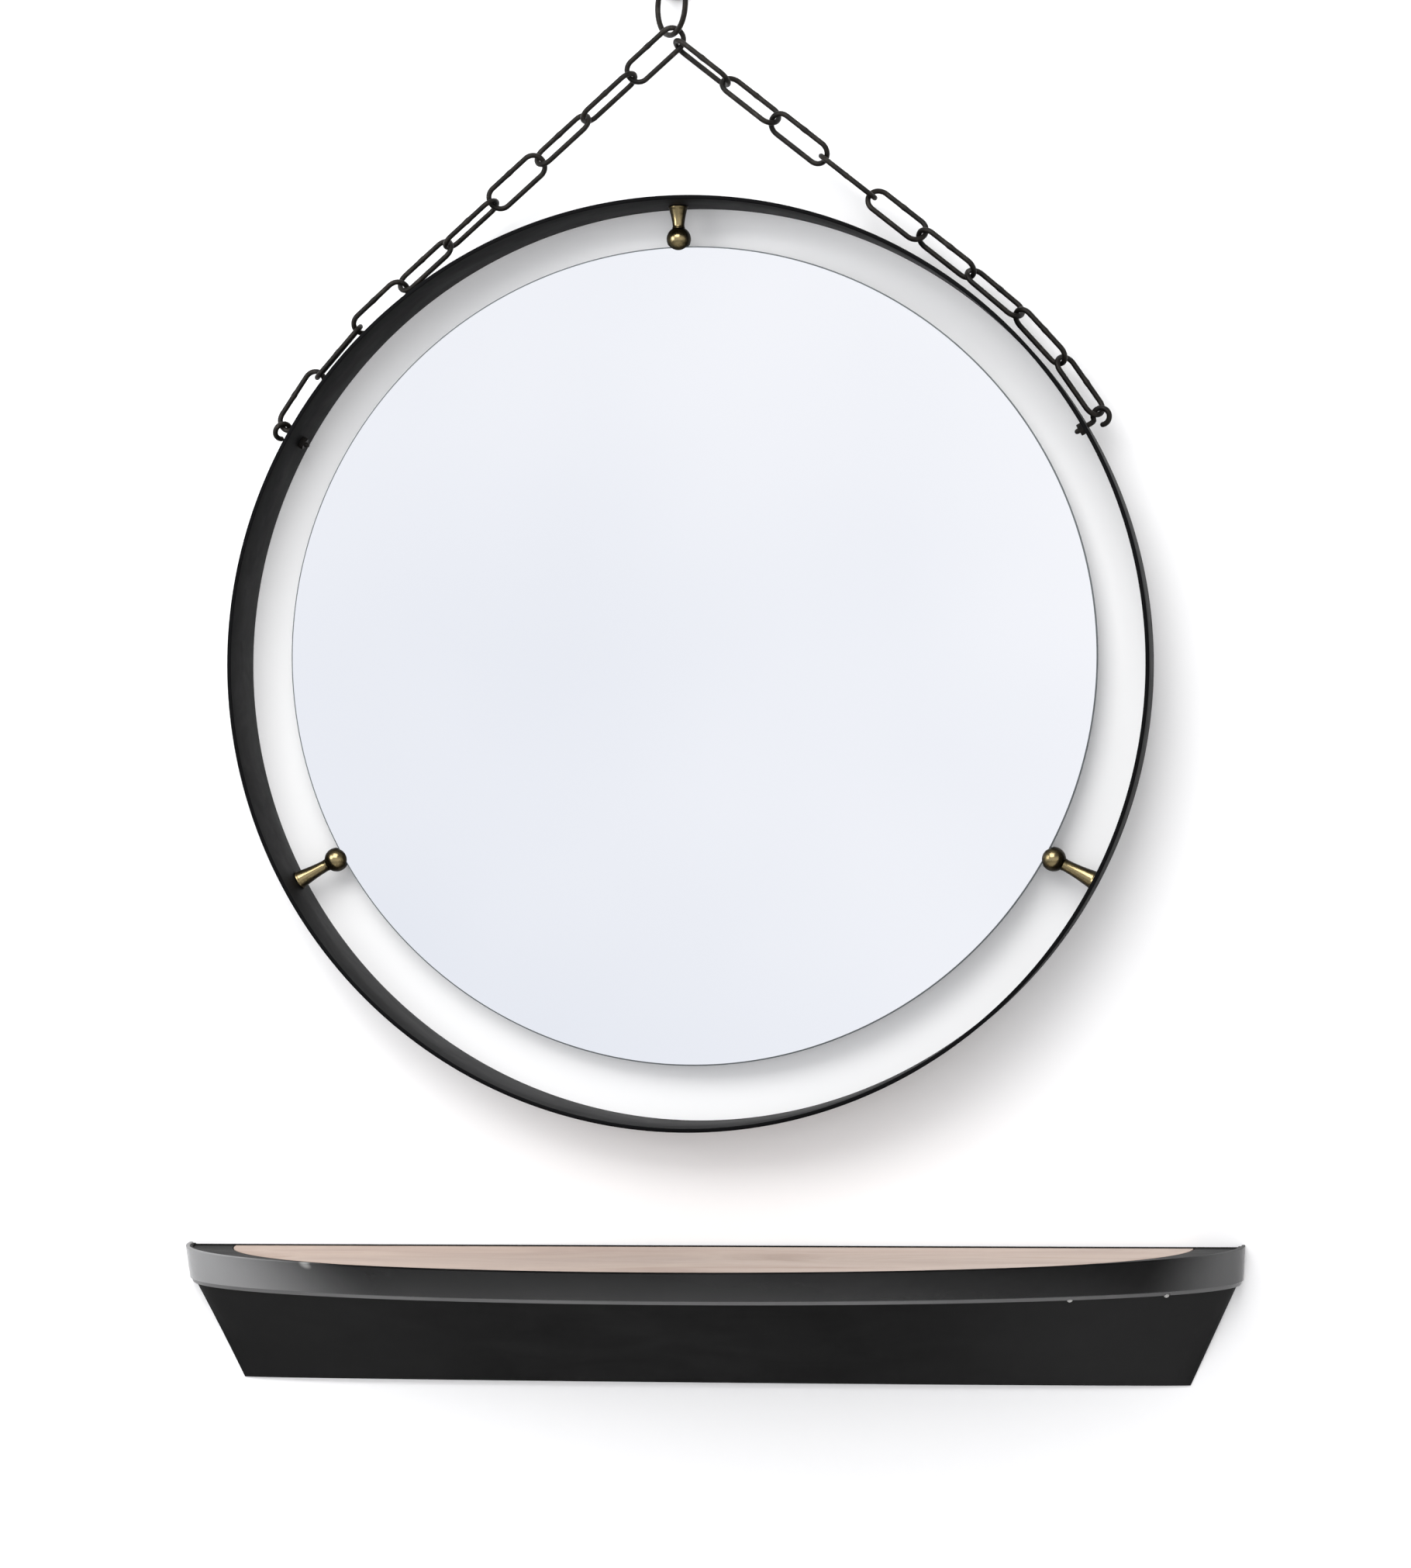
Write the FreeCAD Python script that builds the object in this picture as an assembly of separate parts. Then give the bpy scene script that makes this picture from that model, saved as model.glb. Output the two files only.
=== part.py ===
import FreeCAD, Part
import math
import os

V = FreeCAD.Vector
os.makedirs("parts", exist_ok=True)

# Frame: wall plane at y = 0, front towards -y, z up, origin on the middle of the console's back

# Hoop: a flat steel bar rolled into a ring
hoop_radius = 350.0
hoop_thickness = 3.0
hoop_depth = 60.0
hoop_height = 492.0

# Mirror disc, held a little above the hoop's centre
mirror_gap = 40.0
glass_thickness = 5.0
glass_front = 22.0
mirror_raise = 6.5
backing_margin = 5.0
backing_thickness = 1.2

# Brass fittings between hoop and mirror
top_post_angle = 90.0
left_post_angle = 207.2
right_post_angle = 331.2
post_base_radius = 7.4
post_waist_radius = 4.6
ball_radius = 9.25
ball_outside_edge = 5.8
liner_thickness = 1.0
slot_floor_gap = 1.2
post_screw_radius = 2.0
post_screw_head_radius = 4.0
post_screw_head_height = 2.2
post_screw_tip_gap = 3.45

# Chain: long welded links
wire_radius = 2.0
link_inner_half = 6.7
link_pitch = 47.2
link_play = 0.2
hinge_play = 0.2
upper_links = 6
chain_off_hoop = 12.0
left_turns = [-14.0, -75.0, 43.0, -18.0, -80.0, 40.0, -42.0, -103.0, 15.0]
right_turns = [-72.0, 48.0, -30.0, -92.0, 28.0, -50.0, 56.0, -50.0, 51.0]

# Round ring at the top, hanging turned on its wall peg
ring_radius = 22.0
ring_turn = -51.5
ring_wire_radius = 2.1
ring_over_hoop = 124.5
ring_link_play = 1.1
first_link_play = 1.5
peg_radius = 3.0
peg_past_ring = 12.0
peg_knob_radius = 5.5
peg_knob_length = 4.0
rose_radius = 17.0
rose_over_peg = 10.0
rose_thickness = 4.0
rose_bore_depth = 3.0
rose_hole_radius = 2.25
rose_hole_spacing = 18.0

# Open hooks on the hoop that take the chain ends
hook_loop_radius = 6.2
hook_twists = {-1: -48.0, 1: -14.0}
hook_open_angle = 65.0
nut_half_flats = 4.0
nut_thickness = 4.0
nut_corners = 6
shank_tail = 1.5

# Console: a sheet-steel hull from a half-oval top, over a knuckle under the rim, to the wall
console_height = 105.5
rim_top = 51.0
hull_top_half_width = 406.5
hull_top_reach = 151.0
hull_knuckle_inset = 2.0
hull_knuckle_reach = 115.5
hull_bottom_inset = 39.5
hull_bottom_reach = 8.0
hull_thickness = 2.0
rim_height = 26.5
rim_thickness = 3.0
lip_height = 3.0
rivet_below_rim = 2.6
lip_thickness = 2.2
back_plate_thickness = 3.0
wood_thickness = 20.0
wood_below_rim = 2.5
wood_gap = 0.6
ledge_end_width = 33.0
ledge_front_width = 3.4
ledge_thickness = 3.0
plate_above_wood = 0.8
hull_below_rim = 1.0
cleat_half_length = 300.0
cleat_depth = 18.0
cleat_height = 20.0
gusset_places = {"left": -200.0, "centre": 0.0, "right": 200.0}
gusset_thickness = 4.0
cleat_screw_shares = [-14 / 15, -0.3, 0.3, 14 / 15]
cleat_screw_radius = 2.0
cleat_screw_head_radius = 4.0
cleat_screw_head_height = 2.5
cleat_screw_in_wood = 12.0
wall_hole_radius = 3.25
wall_hole_spacing = 200.0
wall_hole_shares = [-1.5, -0.5, 0.5, 1.5]
wall_hole_drop = 8.0
rivet_angles = [28.9, 45.2]
rivet_head_radius = 2.2
rivet_shank_radius = 1.3
rivet_grip = 5.0

# Fits
seat = 0.05
bore_gap = 0.1
edge_gap = 0.25
turn_gap = 0.3
over = 5.0

# Values that follow from the sizes above
hoop_inner = hoop_radius - hoop_thickness
glass_radius = hoop_radius - mirror_gap
glass_middle = glass_front - glass_thickness / 2
post_angles = {
    "top": top_post_angle,
    "left": left_post_angle,
    "right": right_post_angle,
}
tightest_post = mirror_gap - hoop_thickness - mirror_raise - ball_outside_edge - ball_radius
post_screw_reach = tightest_post - post_screw_tip_gap
link_half_width = wire_radius + link_inner_half
wire_step = wire_radius * 2 + link_play
chain_depth = hoop_depth / 2
chain_wrap_radius = hoop_radius + chain_off_hoop
ring_foot = hoop_radius + ring_over_hoop
leg_top = ring_foot + wire_radius + ring_wire_radius + ring_link_play - link_half_width
leg_starts = {
    -1: wire_step / 2 - link_half_width,
    1: wire_step / 2 + link_half_width - wire_radius * 2 - first_link_play,
}
peg_reach = chain_depth + peg_past_ring
cleat_screw_places = [cleat_half_length * share for share in cleat_screw_shares]
hull_bottom = rim_top - console_height
rim_bottom = rim_top - rim_height
wood_top = rim_top - wood_below_rim
wood_bottom = wood_top - wood_thickness
hull_levels = [hull_bottom, rim_bottom, rim_top]
hull_knuckle_half_width = hull_top_half_width - hull_knuckle_inset
hull_bottom_half_width = hull_top_half_width - hull_bottom_inset
hull_half_widths = [hull_bottom_half_width, hull_knuckle_half_width, hull_top_half_width]
hull_reaches = [hull_bottom_reach, hull_knuckle_reach, hull_top_reach]
ring_centre = V(0, -chain_depth, hoop_height + ring_foot + ring_radius)
peg_drop = ring_wire_radius + turn_gap + peg_radius
peg_height = ring_centre.z + ring_radius - peg_drop
rose_height = peg_height + rose_over_peg
ALONG_Y = V(0, 1, 0)
UP = V(0, 0, 1)


def frame(origin, x_dir, y_dir):
    """Placement whose local x and y lie along the given unit vectors."""
    z_dir = x_dir.cross(y_dir)
    rows = []
    for axis in "xyz":
        rows += [getattr(v, axis) for v in (x_dir, y_dir, z_dir, origin)]
    return FreeCAD.Placement(FreeCAD.Matrix(*rows, 0, 0, 0, 1))


def save(name, shape):
    shape.exportStep("parts/" + name + ".step")


def block(low, high):
    size = high - low
    return Part.makeBox(size.x, size.y, size.z, low)


def disc(radius, front, thickness, height):
    """Round plate parallel to the wall, its front face `front` away from the wall."""
    return Part.makeCylinder(radius, thickness, V(0, -front, height), ALONG_Y)


def around_hoop(shape, angle):
    """Turn a shape built on the hoop's +x radius to its place on the hoop."""
    shape.translate(V(0, 0, hoop_height))
    shape.rotate(V(0, 0, hoop_height), V(0, -1, 0), angle)
    return shape


# Hull surface: straight lines between three half ovals
def slant(sizes, zone):
    """How much longer a wall is across than square to it, in one zone of the hull."""
    rise = hull_levels[zone + 1] - hull_levels[zone]
    return math.hypot(sizes[zone + 1] - sizes[zone], rise) / rise


def offset_sizes(sizes, offset):
    low, high = slant(sizes, 0), slant(sizes, 1)
    return [size + offset * s for size, s in zip(sizes, (low, (low + high) / 2, high))]


def at_height(sizes, z):
    zone = 0 if z < hull_levels[1] else 1
    share = (z - hull_levels[zone]) / (hull_levels[zone + 1] - hull_levels[zone])
    return sizes[zone] + (sizes[zone + 1] - sizes[zone]) * share


def oval_axes(z, offset):
    half = at_height(offset_sizes(hull_half_widths, offset), z)
    reach = at_height(offset_sizes(hull_reaches, offset), z)
    return half, reach


def half_oval(half, reach, z):
    oval = Part.Ellipse(V(half, 0, z), V(0, reach, z), V(0, 0, z))
    front = Part.ArcOfEllipse(oval, math.pi, math.pi * 2).toShape()
    back = Part.makeLine(V(half, 0, z), V(-half, 0, z))
    return Part.Wire([front, back])


def oval_section(z, offset):
    half, reach = oval_axes(z, offset)
    return half_oval(half, reach, z)


def hull_solid(low, high, offset):
    heights = [low] + [z for z in hull_levels if low < z < high] + [high]
    return Part.makeLoft([oval_section(z, offset) for z in heights], True, True)


def hull_point(z, angle, offset):
    half, reach = oval_axes(z, offset)
    turn = math.radians(angle)
    return V(half * math.cos(turn), -reach * math.sin(turn), z)


def hull_normal(z, angle):
    step = seat
    across = hull_point(z, angle + step, 0) - hull_point(z, angle - step, 0)
    upward = hull_point(z + step, angle, 0) - hull_point(z - step, angle, 0)
    return upward.cross(across).normalize()


# Console pieces
def rivet(angle):
    """Dome-headed rivet through the hull, on the line of the lip."""
    z = rim_bottom - rivet_below_rim
    normal = hull_normal(z, angle)
    foot = hull_point(z, angle, 0) + normal * seat
    head = Part.makeSphere(rivet_head_radius, foot, normal, 0, 90, 360)
    shank = Part.makeCylinder(rivet_shank_radius, rivet_grip, foot, -normal)
    return head.fuse(shank).removeSplitter()


def rivet_hole(angle, radius, depth, height):
    z = rim_bottom - rivet_below_rim
    normal = hull_normal(z, angle)
    start = hull_point(z, angle, 0) - normal * depth
    return Part.makeCylinder(radius, depth + height, start, normal)


def console_hull():
    outer = hull_solid(hull_bottom, rim_top - hull_below_rim, 0)
    hollow = hull_solid(hull_bottom + hull_thickness, rim_top + over, -hull_thickness)
    holes = [rivet_hole(a, rivet_shank_radius + bore_gap, over * 2, over) for a in rivet_angles]
    return outer.cut([hollow] + holes)


def console_rim():
    outer = hull_solid(rim_bottom, rim_top, seat + rim_thickness)
    return outer.cut(hull_solid(rim_bottom - over, rim_top + over, seat))


def console_lip():
    outer = hull_solid(rim_bottom - lip_height, rim_bottom - seat, seat + lip_thickness)
    inner = hull_solid(rim_bottom - lip_height - over, rim_bottom + over, seat)
    gaps = [rivet_hole(a, rivet_head_radius + turn_gap, over, over) for a in rivet_angles]
    return outer.cut([inner] + gaps)


def console_back_plate():
    top = wood_top + plate_above_wood
    bottom = hull_bottom + hull_thickness + seat
    slab = block(V(-hull_top_half_width, -back_plate_thickness, bottom), V(hull_top_half_width, 0, top))
    plate = slab.common(hull_solid(hull_bottom, rim_top + over, -hull_thickness - seat))
    depth = over * 2 + back_plate_thickness
    holes = []
    for share in wall_hole_shares:
        start = V(wall_hole_spacing * share, over, -wall_hole_drop)
        holes.append(Part.makeCylinder(wall_hole_radius, depth, start, -ALONG_Y))
    return plate.cut(holes)


def in_front_of_plate(low, high):
    """Everything inside the hull between two heights, in front of the back plate."""
    front = back_plate_thickness + seat
    inside = hull_solid(low, high, -hull_thickness - seat)
    behind = block(V(-hull_top_half_width, -front, low - over), V(hull_top_half_width, over, high + over))
    return inside.cut(behind)


def cleat_box(gap):
    back = back_plate_thickness + seat - gap
    front = back_plate_thickness + seat + cleat_depth + gap
    low = V(-cleat_half_length - gap, -front, wood_bottom - seat - cleat_height - gap)
    high = V(cleat_half_length + gap, -back, wood_bottom - seat + gap)
    return block(low, high)


def cleat_screw(x, gap):
    y = -(back_plate_thickness + seat + cleat_depth / 2)
    base = wood_bottom - seat * 2 - cleat_height
    shank_length = cleat_height + seat + cleat_screw_in_wood + gap
    shank = Part.makeCylinder(cleat_screw_radius + gap, shank_length + seat, V(x, y, base), UP)
    head = Part.makeCylinder(cleat_screw_head_radius, cleat_screw_head_height, V(x, y, base), -UP)
    return shank, head


def cleat_screw_holes():
    return [cleat_screw(x, bore_gap)[0] for x in cleat_screw_places]


def wood_section(z, gap):
    half, reach = oval_axes(z, -hull_thickness)
    return half_oval(half - ledge_end_width + gap, reach - ledge_front_width + gap, z)


def console_top():
    board = Part.makeLoft([wood_section(z, 0) for z in (wood_bottom, wood_top)], True, True)
    front = back_plate_thickness + seat
    behind = block(V(-hull_top_half_width, -front, wood_bottom - over),
                   V(hull_top_half_width, over, wood_top + over))
    return board.cut([behind] + cleat_screw_holes())


def console_ledge():
    """Flat half ring between hull and wood, wide at both ends."""
    bottom = wood_top - ledge_thickness
    inside = in_front_of_plate(bottom, wood_top)
    heights = (bottom - over, wood_top + over)
    return inside.cut(Part.makeLoft([wood_section(z, wood_gap) for z in heights], True, True))


def console_gusset(x):
    inside = in_front_of_plate(hull_bottom + hull_thickness + seat, wood_bottom - seat)
    half = gusset_thickness / 2
    slab = block(V(x - half, -hull_top_reach, hull_bottom), V(x + half, 0, rim_top))
    return inside.common(slab).cut(cleat_box(seat))


def console_cleat():
    return cleat_box(0).cut(cleat_screw_holes())


def cleat_screws():
    screws = []
    for x in cleat_screw_places:
        shank, head = cleat_screw(x, 0)
        screws.append(shank.fuse(head).removeSplitter())
    return Part.makeCompound(screws)


# Wall peg
def rose():
    plate = disc(rose_radius, rose_thickness, rose_thickness, rose_height)
    bores = [disc(peg_radius + seat, rose_thickness + over, rose_bore_depth + over, peg_height)]
    for way in (-1, 1):
        hole = disc(rose_hole_radius, rose_thickness + over, rose_thickness + over * 2, rose_height)
        hole.translate(V(rose_hole_spacing / 2 * way, 0, 0))
        bores.append(hole)
    return plate.cut(bores)


def peg():
    foot = rose_thickness - rose_bore_depth + seat
    bar = disc(peg_radius, peg_reach, peg_reach - foot, peg_height)
    knob = disc(peg_knob_radius, peg_reach + peg_knob_length, peg_knob_length, peg_height)
    return bar.fuse(knob).removeSplitter()


# Ring and chain
def hanging_ring():
    ring = Part.makeTorus(ring_radius, ring_wire_radius, V(0, 0, 0), ALONG_Y)
    ring.rotate(V(0, 0, 0), UP, ring_turn)
    ring.translate(ring_centre)
    return ring


def chain_link():
    """One link about the origin: long axis along y, width along x."""
    half = (link_pitch + wire_step) / 2 - link_half_width
    bends = []
    for way in (1, -1):
        bow = Part.makeTorus(link_half_width, wire_radius, V(0, 0, 0), UP, -180, 180, 180)
        bow.rotate(V(0, 0, 0), UP, 90 - 90 * way)
        bow.translate(V(0, half * way, 0))
        side = Part.makeCylinder(wire_radius, half * 2, V(link_half_width * way, -half, 0), ALONG_Y)
        bends += [bow, side]
    return bends[0].fuse(bends[1:]).removeSplitter()


def leg_point(length, side):
    """Point of a leg this far from its first junction, seen from the hoop's centre on the right.

    Both legs start from the bend of the first left link, which hangs in the ring and takes the
    first right link.
    """
    straight = math.sqrt(leg_top ** 2 - chain_wrap_radius ** 2)
    touch_angle = math.asin(chain_wrap_radius / leg_top)
    run = length + leg_starts[side]
    if run <= straight:
        return V(0, 0, leg_top) + V(math.sin(touch_angle), 0, -math.cos(touch_angle)) * run
    angle = touch_angle - (run - straight) / chain_wrap_radius
    return V(math.cos(angle), 0, math.sin(angle)) * chain_wrap_radius


def leg_axes(number, side):
    """Middle of a link, its direction down the leg, and the outward normal in the wall plane."""
    shift = hinge_play if number < upper_links else 0
    start = leg_point(link_pitch * number + shift, side)
    end = leg_point(link_pitch * (number + 1) + shift, side)
    along = (end - start).normalize()
    middle = (start + end) / 2
    outward = V(-along.z, 0, along.x)
    to_side = [V(v.x * side, v.y, v.z) for v in (middle, along, outward)]
    to_side[0] += V(0, -chain_depth, hoop_height)
    return to_side


def turned(outward, angle):
    turn = math.radians(angle)
    return outward * math.cos(turn) + ALONG_Y * math.sin(turn)


def chain_run(numbers, turns, side):
    links = []
    for number in numbers:
        middle, along, outward = leg_axes(number, side)
        link = chain_link()
        link.Placement = frame(middle, turned(outward, turns[number]), along)
        links.append(link)
    return Part.makeCompound(links)


# Hooks on the hoop
def hook_axes(turns, side):
    """Centre of the hook's loop, its two in-plane directions and the shank's start and direction."""
    last = len(turns) - 1
    middle, along, outward = leg_axes(last, side)
    end = middle + along * ((link_pitch + wire_step) / 2 - wire_step)
    across = turned(outward, hook_twists[side])
    centre = end + along * hook_loop_radius
    root = centre - across * hook_loop_radius
    inward = V(-root.x, 0, hoop_height - root.z).normalize()
    return centre, along, across, root, inward


def shank_depths(root):
    """How far along the shank the hoop's outer face and inner face lie."""
    radius = math.hypot(root.x, root.z - hoop_height)
    return radius - hoop_radius, radius - hoop_inner


def hoop_hook(turns, side):
    centre, along, across, root, inward = hook_axes(turns, side)
    sweep = 360 - hook_open_angle
    loop = Part.makeTorus(hook_loop_radius, wire_radius, V(0, 0, 0), UP, -180, 180, sweep)
    loop.rotate(V(0, 0, 0), UP, hook_open_angle - 90)
    tip = Part.makeSphere(wire_radius, V(hook_loop_radius, 0, 0))
    tip.rotate(V(0, 0, 0), UP, hook_open_angle - 90)
    bend = Part.makeSphere(wire_radius, V(0, -hook_loop_radius, 0))
    bow = loop.fuse([tip, bend])
    bow.Placement = frame(centre, along, across)
    length = shank_depths(root)[1] + seat + nut_thickness + shank_tail
    shank = Part.makeCylinder(wire_radius, length, root, inward)
    return bow.fuse(shank).removeSplitter()


def hook_hole(turns, side):
    root, inward = hook_axes(turns, side)[3:]
    start, end = shank_depths(root)
    foot = root + inward * (start - over)
    return Part.makeCylinder(wire_radius + bore_gap, end - start + over * 2, foot, inward)


def hook_nut(turns, side):
    root, inward = hook_axes(turns, side)[3:]
    corner = nut_half_flats / math.cos(math.pi / nut_corners)
    seat_gap = seat + hoop_inner - math.sqrt(hoop_inner ** 2 - corner ** 2)
    face = root + inward * (shank_depths(root)[1] + seat_gap)
    sideways = inward.cross(ALONG_Y)
    points = []
    for k in range(nut_corners + 1):
        turn = math.pi * 2 * k / nut_corners
        points.append(face + (sideways * math.cos(turn) + ALONG_Y * math.sin(turn)) * corner)
    hexagon = Part.Face(Part.makePolygon(points)).extrude(inward * nut_thickness)
    bore = Part.makeCylinder(wire_radius + seat, nut_thickness + over * 2, face - inward * over, inward)
    return hexagon.cut(bore)


# Mirror fittings, each built on the hoop's +x radius
def edge_radius(angle):
    """Distance of the mirror's edge from the hoop's centre in this direction."""
    rise = mirror_raise * math.sin(math.radians(angle))
    return rise + math.sqrt(glass_radius ** 2 - mirror_raise ** 2 + rise ** 2)


def ball_place(angle):
    return V(edge_radius(angle) + ball_outside_edge, -glass_middle, 0)


def slot_half_width():
    return glass_thickness / 2 + seat + liner_thickness + seat


def slot_block(angle, gap):
    centre = ball_place(angle)
    half = slot_half_width() - gap
    floor = centre.x - ball_outside_edge + slot_floor_gap - gap
    low = V(centre.x - ball_radius - over, centre.y - half, -ball_radius - over)
    return block(low, V(floor, centre.y + half, ball_radius + over))


def ball(angle):
    sphere = Part.makeSphere(ball_radius, ball_place(angle))
    return around_hoop(sphere.cut(slot_block(angle, 0)), angle)


def liner(angle):
    centre = ball_place(angle)
    lining = slot_block(angle, seat).common(Part.makeSphere(ball_radius - turn_gap, centre))
    half = glass_thickness / 2 + seat
    low = V(centre.x - ball_radius - over, centre.y - half, -ball_radius - over)
    edge = V(centre.x - ball_outside_edge + edge_gap, centre.y + half, ball_radius + over)
    return around_hoop(lining.cut(block(low, edge)), angle)


def post_screw_base():
    return hoop_radius - bore_gap * 2


def post_bore(gap):
    length = post_screw_base() - hoop_inner + post_screw_reach + gap
    start = V(post_screw_base(), -glass_middle, 0)
    return Part.makeCylinder(post_screw_radius + gap, length, start, V(-1, 0, 0))


def post_screw_head(gap, proud):
    start = V(post_screw_base() + proud, -glass_middle, 0)
    spread = (post_screw_head_radius - post_screw_radius) / post_screw_head_height
    wide = post_screw_head_radius + gap + spread * proud
    return Part.makeCone(wide, post_screw_radius + gap, post_screw_head_height + proud, start, V(-1, 0, 0))


def post_screw(angle):
    return around_hoop(post_bore(0).fuse(post_screw_head(0, 0)).removeSplitter(), angle)


def post(angle):
    centre = ball_place(angle)
    base = hoop_inner - bore_gap * 2
    length = base - centre.x - ball_radius / 2
    cone = Part.makeCone(post_base_radius, post_waist_radius, length, V(base, centre.y, 0), V(-1, 0, 0))
    solid = cone.cut([Part.makeSphere(ball_radius + seat, centre), post_bore(bore_gap)])
    return around_hoop(solid, angle)


def mirror_hoop():
    outer = disc(hoop_radius, hoop_depth, hoop_depth, hoop_height)
    hoop = outer.cut(disc(hoop_inner, hoop_depth + over, hoop_depth + over * 2, hoop_height))
    cuts = [hook_hole(left_turns, -1), hook_hole(right_turns, 1)]
    for angle in post_angles.values():
        cuts.append(around_hoop(post_bore(bore_gap).fuse(post_screw_head(bore_gap, over)), angle))
    return hoop.cut(cuts)


# Export every piece
save("console_hull", console_hull())
save("console_rim", console_rim())
save("console_lip", console_lip())
save("console_rivets", Part.makeCompound([rivet(a) for a in rivet_angles]))
save("console_back_plate", console_back_plate())
save("console_top", console_top())
save("console_ledge", console_ledge())
save("console_cleat", console_cleat())
save("console_cleat_screws", cleat_screws())
for place, x in gusset_places.items():
    save("console_gusset_" + place, console_gusset(x))
save("wall_rose", rose())
save("wall_peg", peg())
save("hanging_ring", hanging_ring())
upper = range(upper_links)
lower = range(upper_links, len(left_turns))
for place, turns, side in (("left", left_turns, -1), ("right", right_turns, 1)):
    save("chain_" + place + "_upper", chain_run(upper, turns, side))
    save("chain_" + place + "_lower", chain_run(lower, turns, side))
    save("hook_" + place, hoop_hook(turns, side))
save("hook_nuts", Part.makeCompound([hook_nut(left_turns, -1), hook_nut(right_turns, 1)]))
save("mirror_hoop", mirror_hoop())
mirror_height = hoop_height + mirror_raise
save("mirror_glass", disc(glass_radius, glass_front, glass_thickness, mirror_height))
backing_front = glass_front - glass_thickness - seat
save("mirror_backing", disc(glass_radius - backing_margin, backing_front, backing_thickness, mirror_height))
for place, angle in post_angles.items():
    save("post_" + place, post(angle))
    save("ball_" + place, ball(angle))
save("post_screws", Part.makeCompound([post_screw(a) for a in post_angles.values()]))
save("ball_liners", Part.makeCompound([liner(a) for a in post_angles.values()]))
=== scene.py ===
import logging
import math
from collections.abc import Sequence
from dataclasses import dataclass, field
from enum import Enum

import bmesh
import bpy
from mathutils import Matrix, Vector


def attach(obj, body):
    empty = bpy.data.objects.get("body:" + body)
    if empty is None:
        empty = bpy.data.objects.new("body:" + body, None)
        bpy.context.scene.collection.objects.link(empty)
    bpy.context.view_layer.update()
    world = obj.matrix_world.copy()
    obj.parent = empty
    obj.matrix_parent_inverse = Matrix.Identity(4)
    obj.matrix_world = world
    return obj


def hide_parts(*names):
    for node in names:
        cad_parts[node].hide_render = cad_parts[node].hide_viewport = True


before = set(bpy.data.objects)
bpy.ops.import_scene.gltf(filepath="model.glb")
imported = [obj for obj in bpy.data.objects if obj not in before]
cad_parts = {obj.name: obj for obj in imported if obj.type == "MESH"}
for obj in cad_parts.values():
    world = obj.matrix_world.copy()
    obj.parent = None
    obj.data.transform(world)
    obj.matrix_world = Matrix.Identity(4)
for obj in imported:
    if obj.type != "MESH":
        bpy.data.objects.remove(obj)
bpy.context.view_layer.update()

LOG = logging.getLogger("wall_mirror")

Colour = tuple[float, float, float]
Pair = tuple[float, float]
Triple = tuple[float, float, float]
Inputs = dict[str | int, object]
BMesh = bmesh.types.BMesh
Material = bpy.types.Material
Object = bpy.types.Object
Socket = bpy.types.NodeSocket

# Directions as seen from the room
RIGHT = Vector((1.0, 0.0, 0.0))
ROOM = Vector((0.0, -1.0, 0.0))
UP = Vector((0.0, 0.0, 1.0))

# Play between pieces that sit on each other, in metres
SEAT = 0.00005

# Distances at which points of a mesh are joined, in metres
WELD = 1e-6
POLE_WELD = 1e-7
SLIVER = 1e-8

# Edges bent by more degrees than this stay crisp
CREASE = 35.0

# Angles in degrees at which the rounded end of a bar has its rows of points
DOME_ANGLES = (30.0, 60.0, 88.0)

# Mesh attributes: turn of a copy on its point, and the brass's painted sheen, bright where it faces the room
FACING = "facing"
BRASS_SHEEN = "polish"


class Body(Enum):
    """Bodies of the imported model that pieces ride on."""

    WALL = "wall_set"
    RING = "ring"
    CHAIN_LEFT = "chain_left"
    CHAIN_RIGHT = "chain_right"
    MIRROR = "mirror"


class Side(Enum):
    """Side of the mirror, as the sign of x."""

    LEFT = -1
    RIGHT = 1


class Post(Enum):
    """The three brass fittings, by their angle on the hoop in degrees."""

    TOP = 90.0
    LEFT = 207.2
    RIGHT = 331.2


# Node trees


class NodeTree:
    """Node tree that is filled node by node."""

    def __init__(self, tree: bpy.types.NodeTree) -> None:
        """Takes Blender's tree."""
        self.tree = tree

    def fill(self, node: bpy.types.Node, values: Inputs) -> None:
        """Fills inputs of a node.

        Args:
            node: The node.
            values: Names or numbers of its inputs, each with a socket to link or a constant.
        """
        for key, value in values.items():
            socket = node.inputs[key]
            if isinstance(value, Socket):
                self.tree.links.new(value, socket)
            elif socket.type == "RGBA":
                socket.default_value = (*value, 1.0)
            else:
                socket.default_value = value

    def add(self, kind: str, values: Inputs | None = None, **settings: object) -> bpy.types.Node:
        """Adds a node.

        Args:
            kind: Blender's name of the node type.
            values: What its inputs take.
            settings: Properties of the node.

        Returns:
            The new node.
        """
        node = self.tree.nodes.new(kind)
        for key, value in settings.items():
            setattr(node, key, value)
        self.fill(node, values or {})
        return node

    def math(self, operation: str, *values: Socket | float, clamp: bool = False) -> Socket:
        """Adds a math node.

        Args:
            operation: Blender's name of the operation.
            values: Its operands.
            clamp: Whether the result is kept between 0 and 1.

        Returns:
            The result's socket.
        """
        node = self.add("ShaderNodeMath", dict(enumerate(values)), operation=operation, use_clamp=clamp)
        return node.outputs[0]


@dataclass(frozen=True)
class Pattern:
    """Cloudy pattern.

    It has scale features per metre and detail finer octaves, weighed by rough. A large stretch makes it
    short along that axis, and warp distorts it by itself.
    """

    scale: float
    detail: float = 4.0
    rough: float = 0.55
    stretch: Triple = (1.0, 1.0, 1.0)
    warp: float = 0.0


@dataclass(frozen=True)
class Relief:
    """Fine relief: its pattern, how strongly it shows from 0 to 1, and its height in metres."""

    pattern: Pattern
    strength: float
    depth: float


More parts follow.
